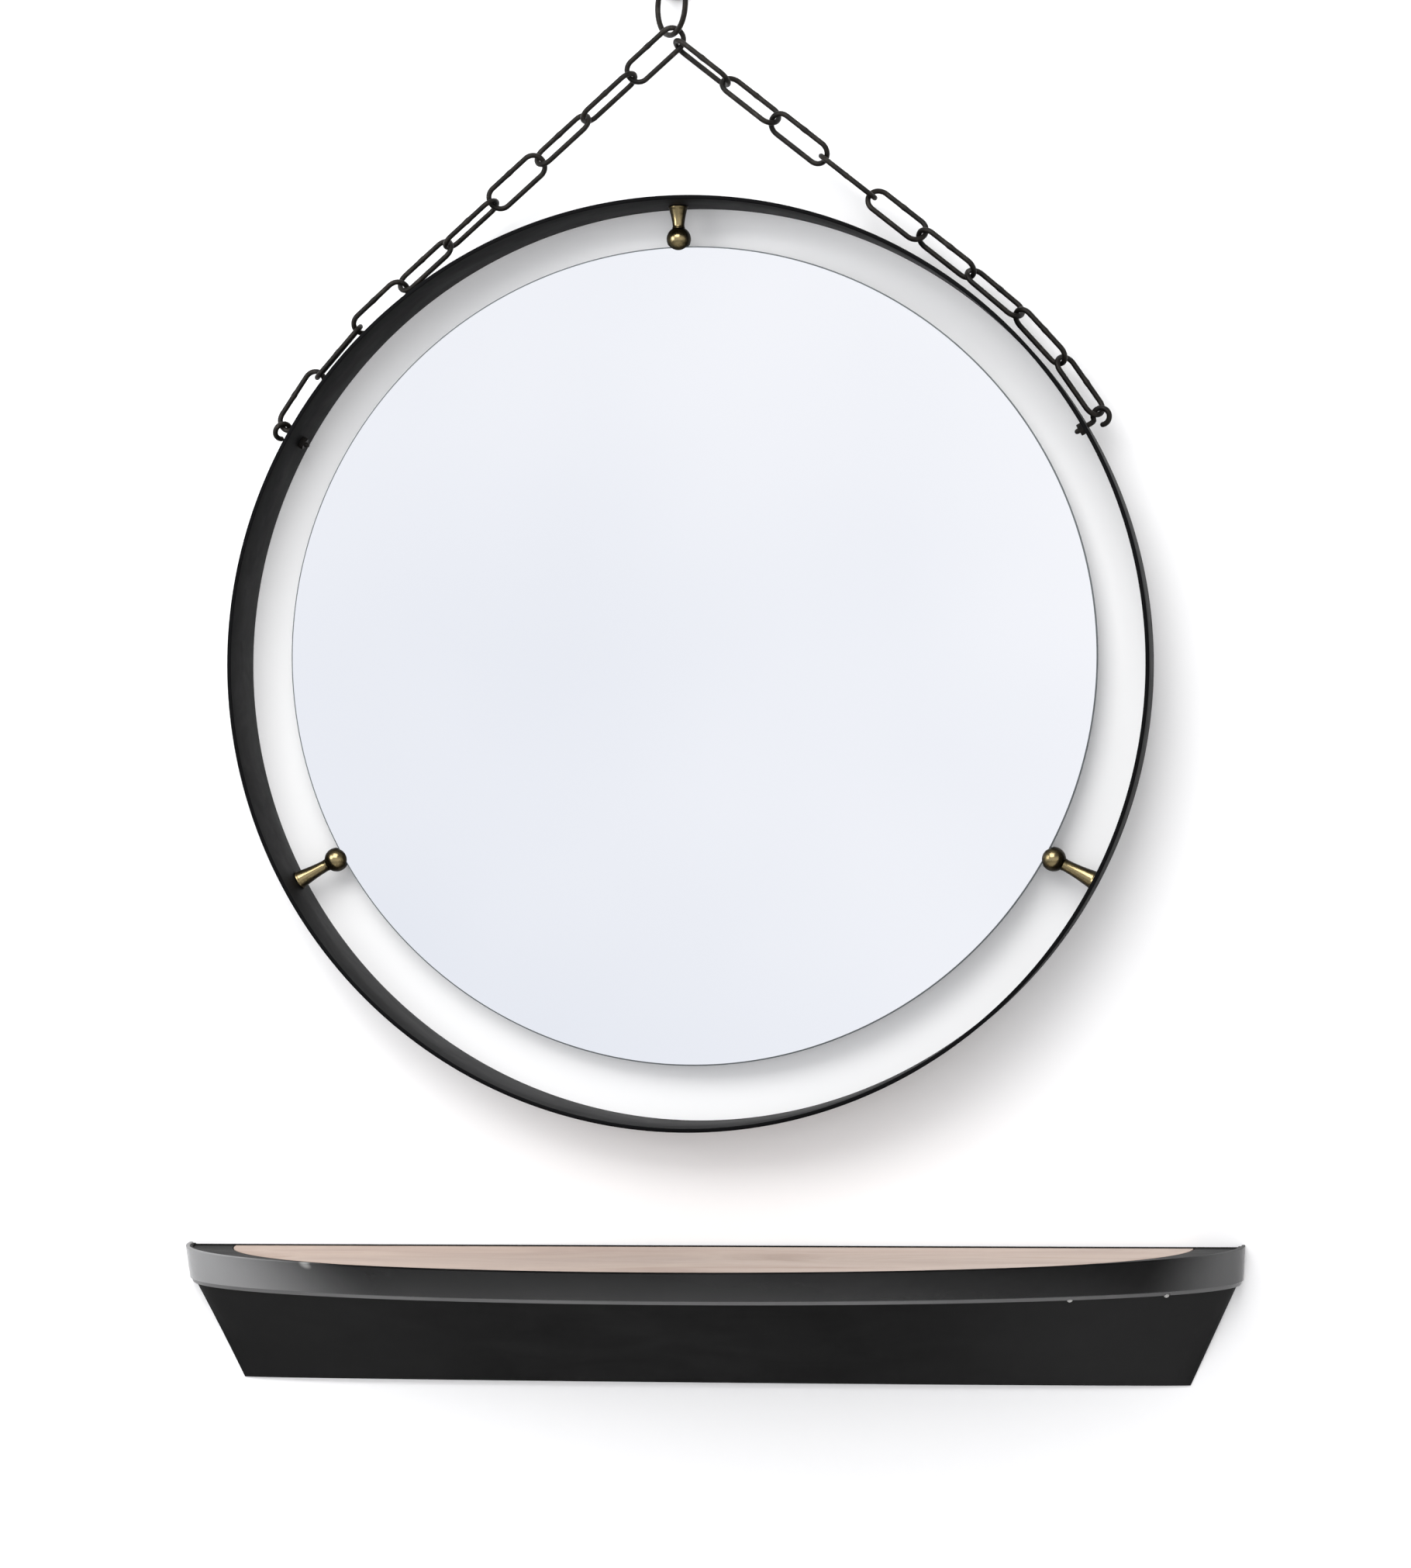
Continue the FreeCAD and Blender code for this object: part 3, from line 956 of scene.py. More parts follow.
class NodeKit(NodeTree):
    """Geometry Nodes tree with named inputs that ends in realised, dressed geometry."""

    def __init__(self, name: str, inputs: dict[str, str]) -> None:
        """Starts a tree.

        Args:
            name: The tree's name.
            inputs: Its input names and their kinds.
        """
        super().__init__(bpy.data.node_groups.new(name, "GeometryNodeTree"))
        face = self.tree.interface
        for label, kind in {"Points": "Geometry", **inputs, "Finish": "Material"}.items():
            face.new_socket(label, in_out="INPUT", socket_type=f"NodeSocket{kind}")
        face.new_socket("Geometry", in_out="OUTPUT", socket_type="NodeSocketGeometry")
        self.start = self.tree.nodes.new("NodeGroupInput")
        self.end = self.tree.nodes.new("NodeGroupOutput")

    def given(self, label: str) -> Socket:
        """Returns the socket of a named input."""
        return self.start.outputs[label]

    def copies(self, shape: Socket) -> None:
        """Puts a shape on every point, turned as the point's attribute says, and ends the tree.

        Args:
            shape: The geometry that is copied.
        """
        facing = self.add("GeometryNodeInputNamedAttribute", {"Name": FACING}, data_type="FLOAT_VECTOR")
        turn = self.add("FunctionNodeEulerToRotation", {"Euler": facing.outputs["Attribute"]})
        placed = self.add("GeometryNodeInstanceOnPoints", {
            "Points": self.given("Points"), "Instance": shape, "Rotation": turn.outputs["Rotation"]})
        real = self.add("GeometryNodeRealizeInstances", {"Geometry": placed.outputs["Instances"]})
        done = self.add("GeometryNodeSetMaterial", {
            "Geometry": real.outputs["Geometry"], "Material": self.given("Finish")})
        self.fill(self.end, {"Geometry": done.outputs["Geometry"]})

    def run(self, name: str, places: Sequence[Matrix], crease: float, **inputs: object) -> Object:
        """Runs the tree on a set of places and keeps the result as a plain mesh.

        Args:
            name: Name of the piece.
            places: Where the copies go.
            crease: Edges bent by more degrees than this stay crisp.
            inputs: Values of the named inputs, with underscores for spaces.

        Returns:
            The new piece.
        """
        mesh = bpy.data.meshes.new(name)
        mesh.from_pydata([place.to_translation() for place in places], [], [])
        turns = mesh.attributes.new(FACING, "FLOAT_VECTOR", "POINT")
        for item, place in zip(turns.data, places):
            item.vector = place.to_euler()
        obj = new_object(name, mesh)
        change = obj.modifiers.new("nodes", "NODES")
        change.node_group = self.tree
        wanted = {key.replace("_", " ").capitalize(): value for key, value in inputs.items()}
        for item in self.tree.interface.items_tree:
            if item.in_out == "INPUT" and item.name in wanted:
                change[item.identifier] = wanted[item.name]
        settle(obj, crease)
        facing = obj.data.attributes.get(FACING)
        if facing is not None:
            obj.data.attributes.remove(facing)
        return obj


def link_kit(bend_points: int = 12) -> NodeKit:
    """Tree that makes long welded chain links on points.

    Args:
        bend_points: Points of each rounded corner, before the line is evened out.

    Returns:
        The tree, with the link's sizes as named inputs.
    """
    kit = NodeKit("chain_links", {
        "Half width": "Float", "Half length": "Float", "Wire radius": "Float", "Weld swell": "Float",
        "Weld length": "Float", "Sides": "Int", "Steps": "Int"})
    width = kit.math("MULTIPLY", kit.given("Half width"), 2.0)
    length = kit.math("MULTIPLY", kit.given("Half length"), 2.0)
    box = kit.add("GeometryNodeCurvePrimitiveQuadrilateral", {"Width": width, "Height": length})
    bent = kit.add("GeometryNodeFilletCurve", {
        "Curve": box.outputs["Curve"], "Count": bend_points, "Radius": kit.given("Half width"),
        "Limit Radius": True}, mode="POLY")
    even = kit.add("GeometryNodeResampleCurve", {"Curve": bent.outputs["Curve"], "Count": kit.given("Steps")})
    place = kit.add("GeometryNodeInputPosition")
    split = kit.add("ShaderNodeSeparateXYZ", {"Vector": place.outputs["Position"]})
    off = kit.math("DIVIDE", kit.math("ABSOLUTE", split.outputs["Y"]), kit.given("Weld length"))
    hump = kit.math("MAXIMUM", kit.math("SUBTRACT", 1.0, off), 0.0)
    one_side = kit.math("GREATER_THAN", split.outputs["X"], 0.0)
    swell = kit.math("MULTIPLY", kit.math("MULTIPLY", hump, one_side), kit.given("Weld swell"))
    wire = kit.add("GeometryNodeCurvePrimitiveCircle", {
        "Resolution": kit.given("Sides"), "Radius": kit.given("Wire radius")})
    bar = kit.add("GeometryNodeCurveToMesh", {
        "Curve": even.outputs["Curve"], "Profile Curve": wire.outputs["Curve"],
        "Scale": kit.math("ADD", swell, 1.0)})
    kit.copies(bar.outputs["Mesh"])
    return kit


def fasteners(name: str, shape: Object, places: Sequence[Matrix], finish: Material, crease: float) -> Object:
    """Puts copies of a small fastener on points, by a tree with the fastener as a named input.

    Args:
        name: Name of the piece.
        shape: The fastener, which is used up.
        places: Where the copies go.
        finish: Their finish.
        crease: Edges bent by more degrees than this stay crisp.

    Returns:
        The new piece.
    """
    kit = NodeKit("fasteners", {"Fastener": "Object"})
    info = kit.add("GeometryNodeObjectInfo", {"Object": kit.given("Fastener")}, transform_space="ORIGINAL")
    kit.copies(info.outputs["Geometry"])
    piece = kit.run(name, places, crease, fastener=shape, finish=finish)
    bpy.data.objects.remove(shape)
    return piece


# The wall console


@dataclass
class Console:
    """Half-oval console: sheet hull, rim band, lip, rivets and a wooden top.

    Lengths are in metres, angles in degrees; levels, half widths and reaches are those of the hull's
    bottom, knuckle and top. The probes are the steps to both sides that give a rivet's direction.
    """

    finishes: Finishes
    levels: Triple = (-0.0545, 0.0245, 0.051)
    half_widths: Triple = (0.367, 0.4045, 0.4065)
    reaches: Triple = (0.008, 0.1155, 0.151)
    hull_thickness: float = 0.002
    hull_below_rim: float = 0.001
    hull_hem: float = 0.0008
    hull_crease: float = 25.0
    rim_thickness: float = 0.003
    rim_rounding: float = 0.0009
    rim_rounding_steps: int = 4
    rim_crease: float = 50.0
    plate_thickness: float = 0.003
    wood_thickness: float = 0.020
    wood_below_rim: float = 0.0025
    wood_gap: float = 0.0006
    wood_rounding: float = 0.0006
    wood_rounding_share: float = 0.3
    ledge_end: float = 0.033
    ledge_front: float = 0.0034
    ledge_thickness: float = 0.003
    rivet_below_rim: float = 0.0026
    rivet_angles: Pair = (28.9, 45.2)
    rivet_radius: float = 0.0022
    rivet_shares: tuple[Pair, ...] = (
        (0.0, -1.0), (0.55, -1.0), (0.55, 0.0), (1.0, 0.0), (1.0, 0.12), (0.93, 0.42), (0.74, 0.72),
        (0.42, 0.93), (0.0, 1.0))
    rivet_steps: int = 20
    rivet_crease: float = 50.0
    probe_turn: float = 0.01
    probe_rise: float = 0.001
    steps: int = 180

    def slant(self, sizes: Triple, zone: int) -> float:
        """How much longer the hull's wall is across than square to it.

        Args:
            sizes: The half widths or reaches of the three levels.
            zone: 0 below the knuckle, 1 above it.

        Returns:
            The factor, 1 for an upright wall.
        """
        rise = self.levels[zone + 1] - self.levels[zone]
        return math.hypot(sizes[zone + 1] - sizes[zone], rise) / rise

    def at_height(self, sizes: Triple, z: float, offset: float) -> float:
        """Half width or reach of the hull at a height.

        Args:
            sizes: The half widths or reaches of the three levels.
            z: The height.
            offset: Distance outside the hull's outer face.

        Returns:
            The size there.
        """
        low, high = self.slant(sizes, 0), self.slant(sizes, 1)
        moved = [s + offset * k for s, k in zip(sizes, (low, (low + high) / 2, high))]
        zone = 0 if z < self.levels[1] else 1
        share = (z - self.levels[zone]) / (self.levels[zone + 1] - self.levels[zone])
        return moved[zone] + (moved[zone + 1] - moved[zone]) * share

    def oval(self, z: float, offset: float) -> Pair:
        """Half oval of the hull at a height.

        Args:
            z: The height.
            offset: Distance outside the hull's outer face.

        Returns:
            Its half width and its reach from the wall.
        """
        return self.at_height(self.half_widths, z, offset), self.at_height(self.reaches, z, offset)

    def point(self, z: float, offset: float, turn: float) -> Vector:
        """Point of the hull.

        Args:
            z: The height.
            offset: Distance outside the hull's outer face.
            turn: Angle round the oval in radians, 0 at the right end.

        Returns:
            The point.
        """
        half, reach = self.oval(z, offset)
        return Vector((half * math.cos(turn), -reach * math.sin(turn), z))

    def band(self, section: Sequence[Pair]) -> BMesh:
        """Bends a closed section round the half oval.

        Args:
            section: Height and offset of each point of the section.

        Returns:
            The band's mesh, closed at both ends.
        """
        turns = [math.pi * k / self.steps for k in range(self.steps + 1)]
        return skin([[self.point(z, offset, turn) for z, offset in section] for turn in turns])

    def edge_line(self, half: float, reach: float, z: float, back: float) -> list[Vector]:
        """Half oval from the right end of a straight back to its left end.

        Args:
            half: Half width of the oval.
            reach: Its reach from the wall.
            z: Its height.
            back: How far in front of the wall the straight back lies.

        Returns:
            The points of the line, evenly spread over the oval's angle.
        """
        start = math.asin(back / reach)
        turns = [start + (math.pi - 2 * start) * k / self.steps for k in range(self.steps + 1)]
        return [Vector((half * math.cos(turn), -reach * math.sin(turn), z)) for turn in turns]

    def hull_line(self, z: float, offset: float, back: float) -> list[Vector]:
        """Edge line of a flat body that follows the hull.

        Args:
            z: Its height.
            offset: Distance outside the hull's outer face.
            back: How far in front of the wall its straight back lies.

        Returns:
            The points of the line.
        """
        return self.edge_line(*self.oval(z, offset), z, back)

    def wood_line(self, z: float, gap: float, back: float) -> list[Vector]:
        """Edge line of the wooden top.

        Args:
            z: Its height.
            gap: Distance outside the wood.
            back: How far in front of the wall its straight back lies.

        Returns:
            The points of the line.
        """
        half, reach = self.oval(z, -self.hull_thickness)
        return self.edge_line(half - self.ledge_end + gap, reach - self.ledge_front + gap, z, back)

    def build_hull(self) -> None:
        """Sheet hull with its narrow bottom plate."""
        bottom, knuckle, top = self.levels
        wall, brim = self.hull_thickness, top - self.hull_below_rim
        bm = self.band([(bottom, 0.0), (bottom + self.hull_hem, 0.0), (knuckle, 0.0), (brim, 0.0),
                        (brim, -wall), (knuckle, -wall), (bottom, -wall)])
        skin([self.hull_line(z, -wall, 0.0) for z in (bottom, bottom + wall)], bm=bm)
        hull = to_object("hull_sheet", bm, self.finishes.hull, crease=self.hull_crease)
        publish(hull, Body.WALL, "hull_black", "console_hull")

    def build_rim(self) -> None:
        """Rim band with eased edges."""
        bottom, top = self.levels[1:]
        inner, outer = SEAT, SEAT + self.rim_thickness
        corners = [(bottom, inner), (bottom, outer), (top, outer), (top, inner)]
        bm = self.band(rounded(corners, self.rim_rounding, self.rim_rounding_steps))
        rim = to_object("rim_band", bm, self.finishes.rim, crease=self.rim_crease)
        publish(rim, Body.WALL, "black_steel", "console_rim")

    def rivet_place(self, angle: float) -> Matrix:
        """Placement of a rivet on the hull, z outwards.

        Args:
            angle: Its angle round the oval in degrees.

        Returns:
            The 4 by 4 matrix.
        """
        z, turn = self.levels[1] - self.rivet_below_rim, math.radians(angle)
        across = self.point(z, 0.0, turn + self.probe_turn) - self.point(z, 0.0, turn - self.probe_turn)
        up = self.point(z + self.probe_rise, 0.0, turn) - self.point(z - self.probe_rise, 0.0, turn)
        out = up.cross(across).normalized()
        return along_z(self.point(z, 0.0, turn) + out * SEAT, out)

    def build_rivets(self) -> None:
        """Two domed rivets on the right of the lip."""
        outline = [(x * self.rivet_radius, y * self.rivet_radius) for x, y in self.rivet_shares]
        bm = lathe(outline, Matrix.Identity(4), self.rivet_steps)
        shape = to_object("rivet", bm, crease=self.rivet_crease)
        places = [self.rivet_place(angle) for angle in self.rivet_angles]
        rivets = fasteners("rim_rivets", shape, places, self.finishes.steel, self.rivet_crease)
        publish(rivets, Body.WALL, "bare_steel", "console_rivets")

    def build_top(self) -> None:
        """Wooden top let in behind the rim, its upper edge eased."""
        top = self.levels[2] - self.wood_below_rim
        ease, back = self.wood_rounding, self.plate_thickness + SEAT
        part = ease * self.wood_rounding_share
        edges = [(top - self.wood_thickness, 0.0), (top - ease, 0.0), (top - part, -part), (top, -ease)]
        bm = skin([self.wood_line(z, gap, back) for z, gap in edges])
        publish(to_object("top_board", bm, self.finishes.wood), Body.WALL, "pale_wood", "console_top")

    def build_ledge(self) -> None:
        """Flat black half ring between hull and wood, wide at both ends."""
        top = self.levels[2] - self.wood_below_rim
        low, back = top - self.ledge_thickness, self.plate_thickness + SEAT
        ease, wall, gap = self.wood_rounding, -self.hull_thickness - SEAT, self.wood_gap
        lines = [self.wood_line(low, gap, back), self.hull_line(low, wall, back),
                 self.hull_line(top - ease, wall, back), self.hull_line(top, wall - ease, back),
                 self.wood_line(top, gap + ease, back), self.wood_line(top - ease, gap, back)]
        ledge = to_object("top_ledge", skin(list(zip(*lines))), self.finishes.hull, crease=self.hull_crease)
        publish(ledge, Body.WALL, "hull_black", "console_ledge")

    def build(self) -> None:
        """Builds the console's visible pieces and dresses the rest."""
        self.build_hull()
        self.build_rim()
        self.build_rivets()
        self.build_top()
        self.build_ledge()
        dress(self.finishes.lip, "console_lip")
        dress(self.finishes.hull, "console_back_plate", "console_gusset_left", "console_gusset_centre",
              "console_gusset_right")
        dress(self.finishes.batten, "console_cleat")
        dress(self.finishes.steel, "console_cleat_screws")


# The hanging mirror


@dataclass(frozen=True)
class HoopSize:
    """Sizes of the hoop in metres, which its neighbours share; height is that of its centre."""

    radius: float = 0.350
    thickness: float = 0.003
    depth: float = 0.060
    height: float = 0.492

    def inner(self) -> float:
        """Returns the radius of its inner face."""
        return self.radius - self.thickness

    def middle(self) -> Vector:
        """Returns its centre at half its depth."""
        return ROOM * (self.depth / 2) + UP * self.height


@dataclass(frozen=True)
class GlassSize:
    """Sizes of the mirror disc in metres; rise is that of its centre over the hoop's."""

    radius: float = 0.310
    front: float = 0.022
    thickness: float = 0.005
    rise: float = 0.0065


def turned(outward: Vector, angle: float) -> Vector:
    """Outward normal of a chain leg, turned about the leg.

    Args:
        outward: The normal.
        angle: The angle in degrees.

    Returns:
        The turned direction.
    """
    turn = math.radians(angle)
    return outward * math.cos(turn) - ROOM * math.sin(turn)


@dataclass
class Chain:
    """Two chain legs that hang from a ring and end on the hoop.

    Lengths are in metres, angles in degrees. The upper links of a leg swing; the others lie on the
    hoop, at wrap_radius. Neighbouring links overlap by step along the leg. ring_foot is the height of
    the ring's lowest point over the hoop's centre. The turns are those of the links about their leg,
    from the ring down.
    """

    finishes: Finishes
    hoop: HoopSize
    wrap_radius: float = 0.362
    wire_radius: float = 0.002
    wire_crease: float = 60.0
    link_half_width: float = 0.0087
    link_sides: int = 14
    link_steps: int = 84
    weld_swell: float = 0.16
    weld_length: float = 0.0032
    pitch: float = 0.0472
    step: float = 0.0042
    hinge_play: float = 0.0002
    upper: int = 6
    ring_radius: float = 0.022
    ring_turn: float = -51.5
    ring_wire: float = 0.0021
    ring_foot: float = 0.4745
    ring_play: float = 0.0011
    ring_steps: int = 96
    ring_sides: int = 18
    first_play: float = 0.0015
    turns: dict[Side, tuple[float, ...]] = field(default_factory=lambda: {
        Side.LEFT: (-14.0, -75.0, 43.0, -18.0, -80.0, 40.0, -42.0, -103.0, 15.0),
        Side.RIGHT: (-72.0, 48.0, -30.0, -92.0, 28.0, -50.0, 56.0, -50.0, 51.0)})

    def leg_top(self) -> float:
        """Returns the height over the hoop's centre of the bend from which both legs start."""
        return self.ring_foot + self.wire_radius + self.ring_wire + self.ring_play - self.link_half_width

    def leg_start(self, side: Side) -> float:
        """How far down its leg from that bend a leg's first junction lies.

        Args:
            side: The leg.

        Returns:
            The distance, below 0 where the junction lies above the bend.
        """
        if side is Side.LEFT:
            return self.step / 2 - self.link_half_width
        return self.step / 2 + self.link_half_width - self.wire_radius * 2 - self.first_play

    def leg_point(self, length: float, side: Side) -> Vector:
        """Point of a leg this far from its first junction.

        Args:
            length: Distance along the leg.
            side: The leg.

        Returns:
            The point, seen from the hoop's centre and drawn on the right.
        """
        top = self.leg_top()
        straight = math.sqrt(top ** 2 - self.wrap_radius ** 2)
        angle = math.asin(self.wrap_radius / top)
        run = length + self.leg_start(side)
        if run <= straight:
            return Vector((math.sin(angle) * run, 0.0, top - math.cos(angle) * run))
        angle -= (run - straight) / self.wrap_radius
        return Vector((math.cos(angle), 0.0, math.sin(angle))) * self.wrap_radius

    def half_link(self) -> float:
        """Returns half of a link's length, measured on its wire's middle line."""
        return (self.pitch + self.step) / 2

    def link_axes(self, number: int, side: Side) -> tuple[Vector, Vector, Vector]:
        """Where one link lies.

        Args:
            number: The link's number from the ring down.
            side: The leg.

        Returns:
            The link's middle, its direction down the leg, and the outward normal.
        """
        shift = self.hinge_play if number < self.upper else 0.0
        start = self.leg_point(self.pitch * number + shift, side)
        end = self.leg_point(self.pitch * (number + 1) + shift, side)
        way = (end - start).normalized()
        middle, outward = (start + end) / 2, Vector((-way.z, 0.0, way.x))
        for vector in (middle, way, outward):
            vector.x *= side.value
        return middle + self.hoop.middle(), way, outward

    def build_ring(self) -> None:
        """Round ring at the top, hanging turned."""
        centre = self.hoop.middle() + UP * (self.ring_foot + self.ring_radius)
        across = Matrix.Rotation(math.radians(self.ring_turn), 3, "Z") @ RIGHT
        line = [centre + (across * math.cos(turn) + UP * math.sin(turn)) * self.ring_radius
                for turn in circle(self.ring_steps)]
        bm = tube(line, self.ring_wire, self.ring_sides, closed=True)
        ring = to_object("top_ring", bm, self.finishes.iron, crease=self.wire_crease)
        publish(ring, Body.RING, "chain_iron", "hanging_ring")

    def build_links(self) -> None:
        """Both legs, each as an upper run that swings and a lower run on the hoop."""
        kit = link_kit()
        for side, body in ((Side.LEFT, Body.CHAIN_LEFT), (Side.RIGHT, Body.CHAIN_RIGHT)):
            turns, word = self.turns[side], side.name.lower()
            for part, numbers, rider in (("upper", range(self.upper), body),
                                         ("lower", range(self.upper, len(turns)), Body.MIRROR)):
                places = []
                for number in numbers:
                    middle, way, outward = self.link_axes(number, side)
                    x = turned(outward, turns[number])
                    places.append(axes(x, way, x.cross(way), middle))
                links = kit.run(
                    f"links_{word}_{part}", places, self.wire_crease, half_width=self.link_half_width,
                    half_length=self.half_link(), wire_radius=self.wire_radius, weld_swell=self.weld_swell,
                    weld_length=self.weld_length, sides=self.link_sides, steps=self.link_steps,
                    finish=self.finishes.iron)
                publish(links, rider, "chain_iron", f"chain_{word}_{part}")

    def build(self) -> None:
        """Builds ring and links, and dresses the wall peg."""
        self.build_ring()
        self.build_links()
        dress(self.finishes.iron, "wall_rose", "wall_peg")


@dataclass(frozen=True)
class HookPlace:
    """Where one hook lies.

    Its loop has a centre and two directions. Its shank has a root, a direction into the hoop and, at
    the distance depth from the root, the hoop's inner face.
    """

    centre: Vector
    way: Vector
    across: Vector
    root: Vector
    inward: Vector
    depth: float


@dataclass
class Hooks:
    """Open hooks that take the chain's ends, with shanks through the hoop and nuts inside it.

    Lengths are in metres, angles in degrees; loop_open is the angle of a loop's gap. The twists are
    those of the loops about their leg.
    """

    finishes: Finishes
    hoop: HoopSize
    chain: Chain
    loop_radius: float = 0.0062
    loop_open: float = 65.0
    loop_steps: int = 40
    wire_sides: int = 16
    bend_length: float = 0.003
    bend_shares: Pair = (0.35, 0.65)
    shank_steps: int = 6
    shank_tail: float = 0.0015
    nut_half_flats: float = 0.004
    nut_thickness: float = 0.004
    nut_chamfer: float = 0.0006
    nut_face_share: float = 0.93
    nut_steps: int = 48
    nut_crease: float = 25.0
    twists: dict[Side, float] = field(default_factory=lambda: {Side.LEFT: -48.0, Side.RIGHT: -14.0})

    def place(self, side: Side) -> HookPlace:
        """Where one hook lies.

        Args:
            side: The leg whose end it takes.

        Returns:
            Its place.
        """
        chain = self.chain
        middle, way, outward = chain.link_axes(len(chain.turns[side]) - 1, side)
        across = turned(outward, self.twists[side])
        centre = middle + way * (chain.half_link() - chain.step + self.loop_radius)
        root = centre - across * self.loop_radius
        inward = Vector((-root.x, 0.0, self.hoop.height - root.z))
        return HookPlace(centre, way, across, root, inward.normalized(), inward.length - self.hoop.inner())

    def line(self, hook: HookPlace) -> list[Vector]:
        """Middle line of a hook's wire, from the open end of its loop to the end of its shank.

        The bend into the shank takes the place of the loop's last points.

        Args:
            hook: Where the hook lies.

        Returns:
            The points of the line.
        """
        points = []
        for k in range(self.loop_steps + 1 - len(self.bend_shares)):
            turn = math.radians(self.loop_open - 90.0 + (360.0 - self.loop_open) * k / self.loop_steps)
            spoke = hook.way * math.cos(turn) + hook.across * math.sin(turn)
            points.append(hook.centre + spoke * self.loop_radius)
        last, root, foot = points[-1], hook.root, hook.root + hook.inward * self.bend_length
        points += [last.lerp(root, t) * (1 - t) + root.lerp(foot, t) * t for t in self.bend_shares]
        tip = root + hook.inward * (hook.depth + SEAT + self.nut_thickness + self.shank_tail)
        return points + [foot.lerp(tip, k / self.shank_steps) for k in range(self.shank_steps + 1)]

    def build_hooks(self) -> None:
        """Both hooks, of the chain's wire."""
        for side in Side:
            word = side.name.lower()
            bm = tube(self.line(self.place(side)), self.chain.wire_radius, self.wire_sides, closed=False)
            hook = to_object(f"hook_wire_{word}", bm, self.finishes.iron, crease=self.chain.wire_crease)
            publish(hook, Body.MIRROR, "chain_iron", f"hook_{word}")

    def nut_corner(self) -> float:
        """Returns the distance of a nut's corners from its axis."""
        return self.nut_half_flats / math.cos(math.pi / 6)

    def nut_shape(self) -> Object:
        """Chamfered hexagon nut, standing on the origin along z.

        Returns:
            The nut, for copying.
        """
        high, ease, corner = self.nut_thickness, self.nut_chamfer, self.nut_corner()
        bore, face = self.chain.wire_radius + SEAT, corner * self.nut_face_share
        outline = [(bore, 0.0), (face, 0.0), (corner, ease), (corner, high - ease), (face, high),
                   (bore, high)]
        sides = hexagon(self.nut_half_flats, self.nut_steps)
        levels = [([min(side, radius) for side in sides], z) for radius, z in outline]
        return to_object("nut", stack(levels, Matrix.Identity(4), loop=True), crease=self.nut_crease)

    def build_nuts(self) -> None:
        """Nuts inside the hoop that hold the hooks."""
        inner = self.hoop.inner()
        sink = SEAT + inner - math.sqrt(inner ** 2 - self.nut_corner() ** 2)
        places = []
        for hook in map(self.place, Side):
            places.append(along_z(hook.root + hook.inward * (hook.depth + sink), hook.inward))
        nuts = fasteners("hook_nut_pair", self.nut_shape(), places, self.finishes.iron, self.nut_crease)
        publish(nuts, Body.MIRROR, "chain_iron", "hook_nuts")

    def build(self) -> None:
        """Builds hooks and nuts."""
        self.build_hooks()
        self.build_nuts()


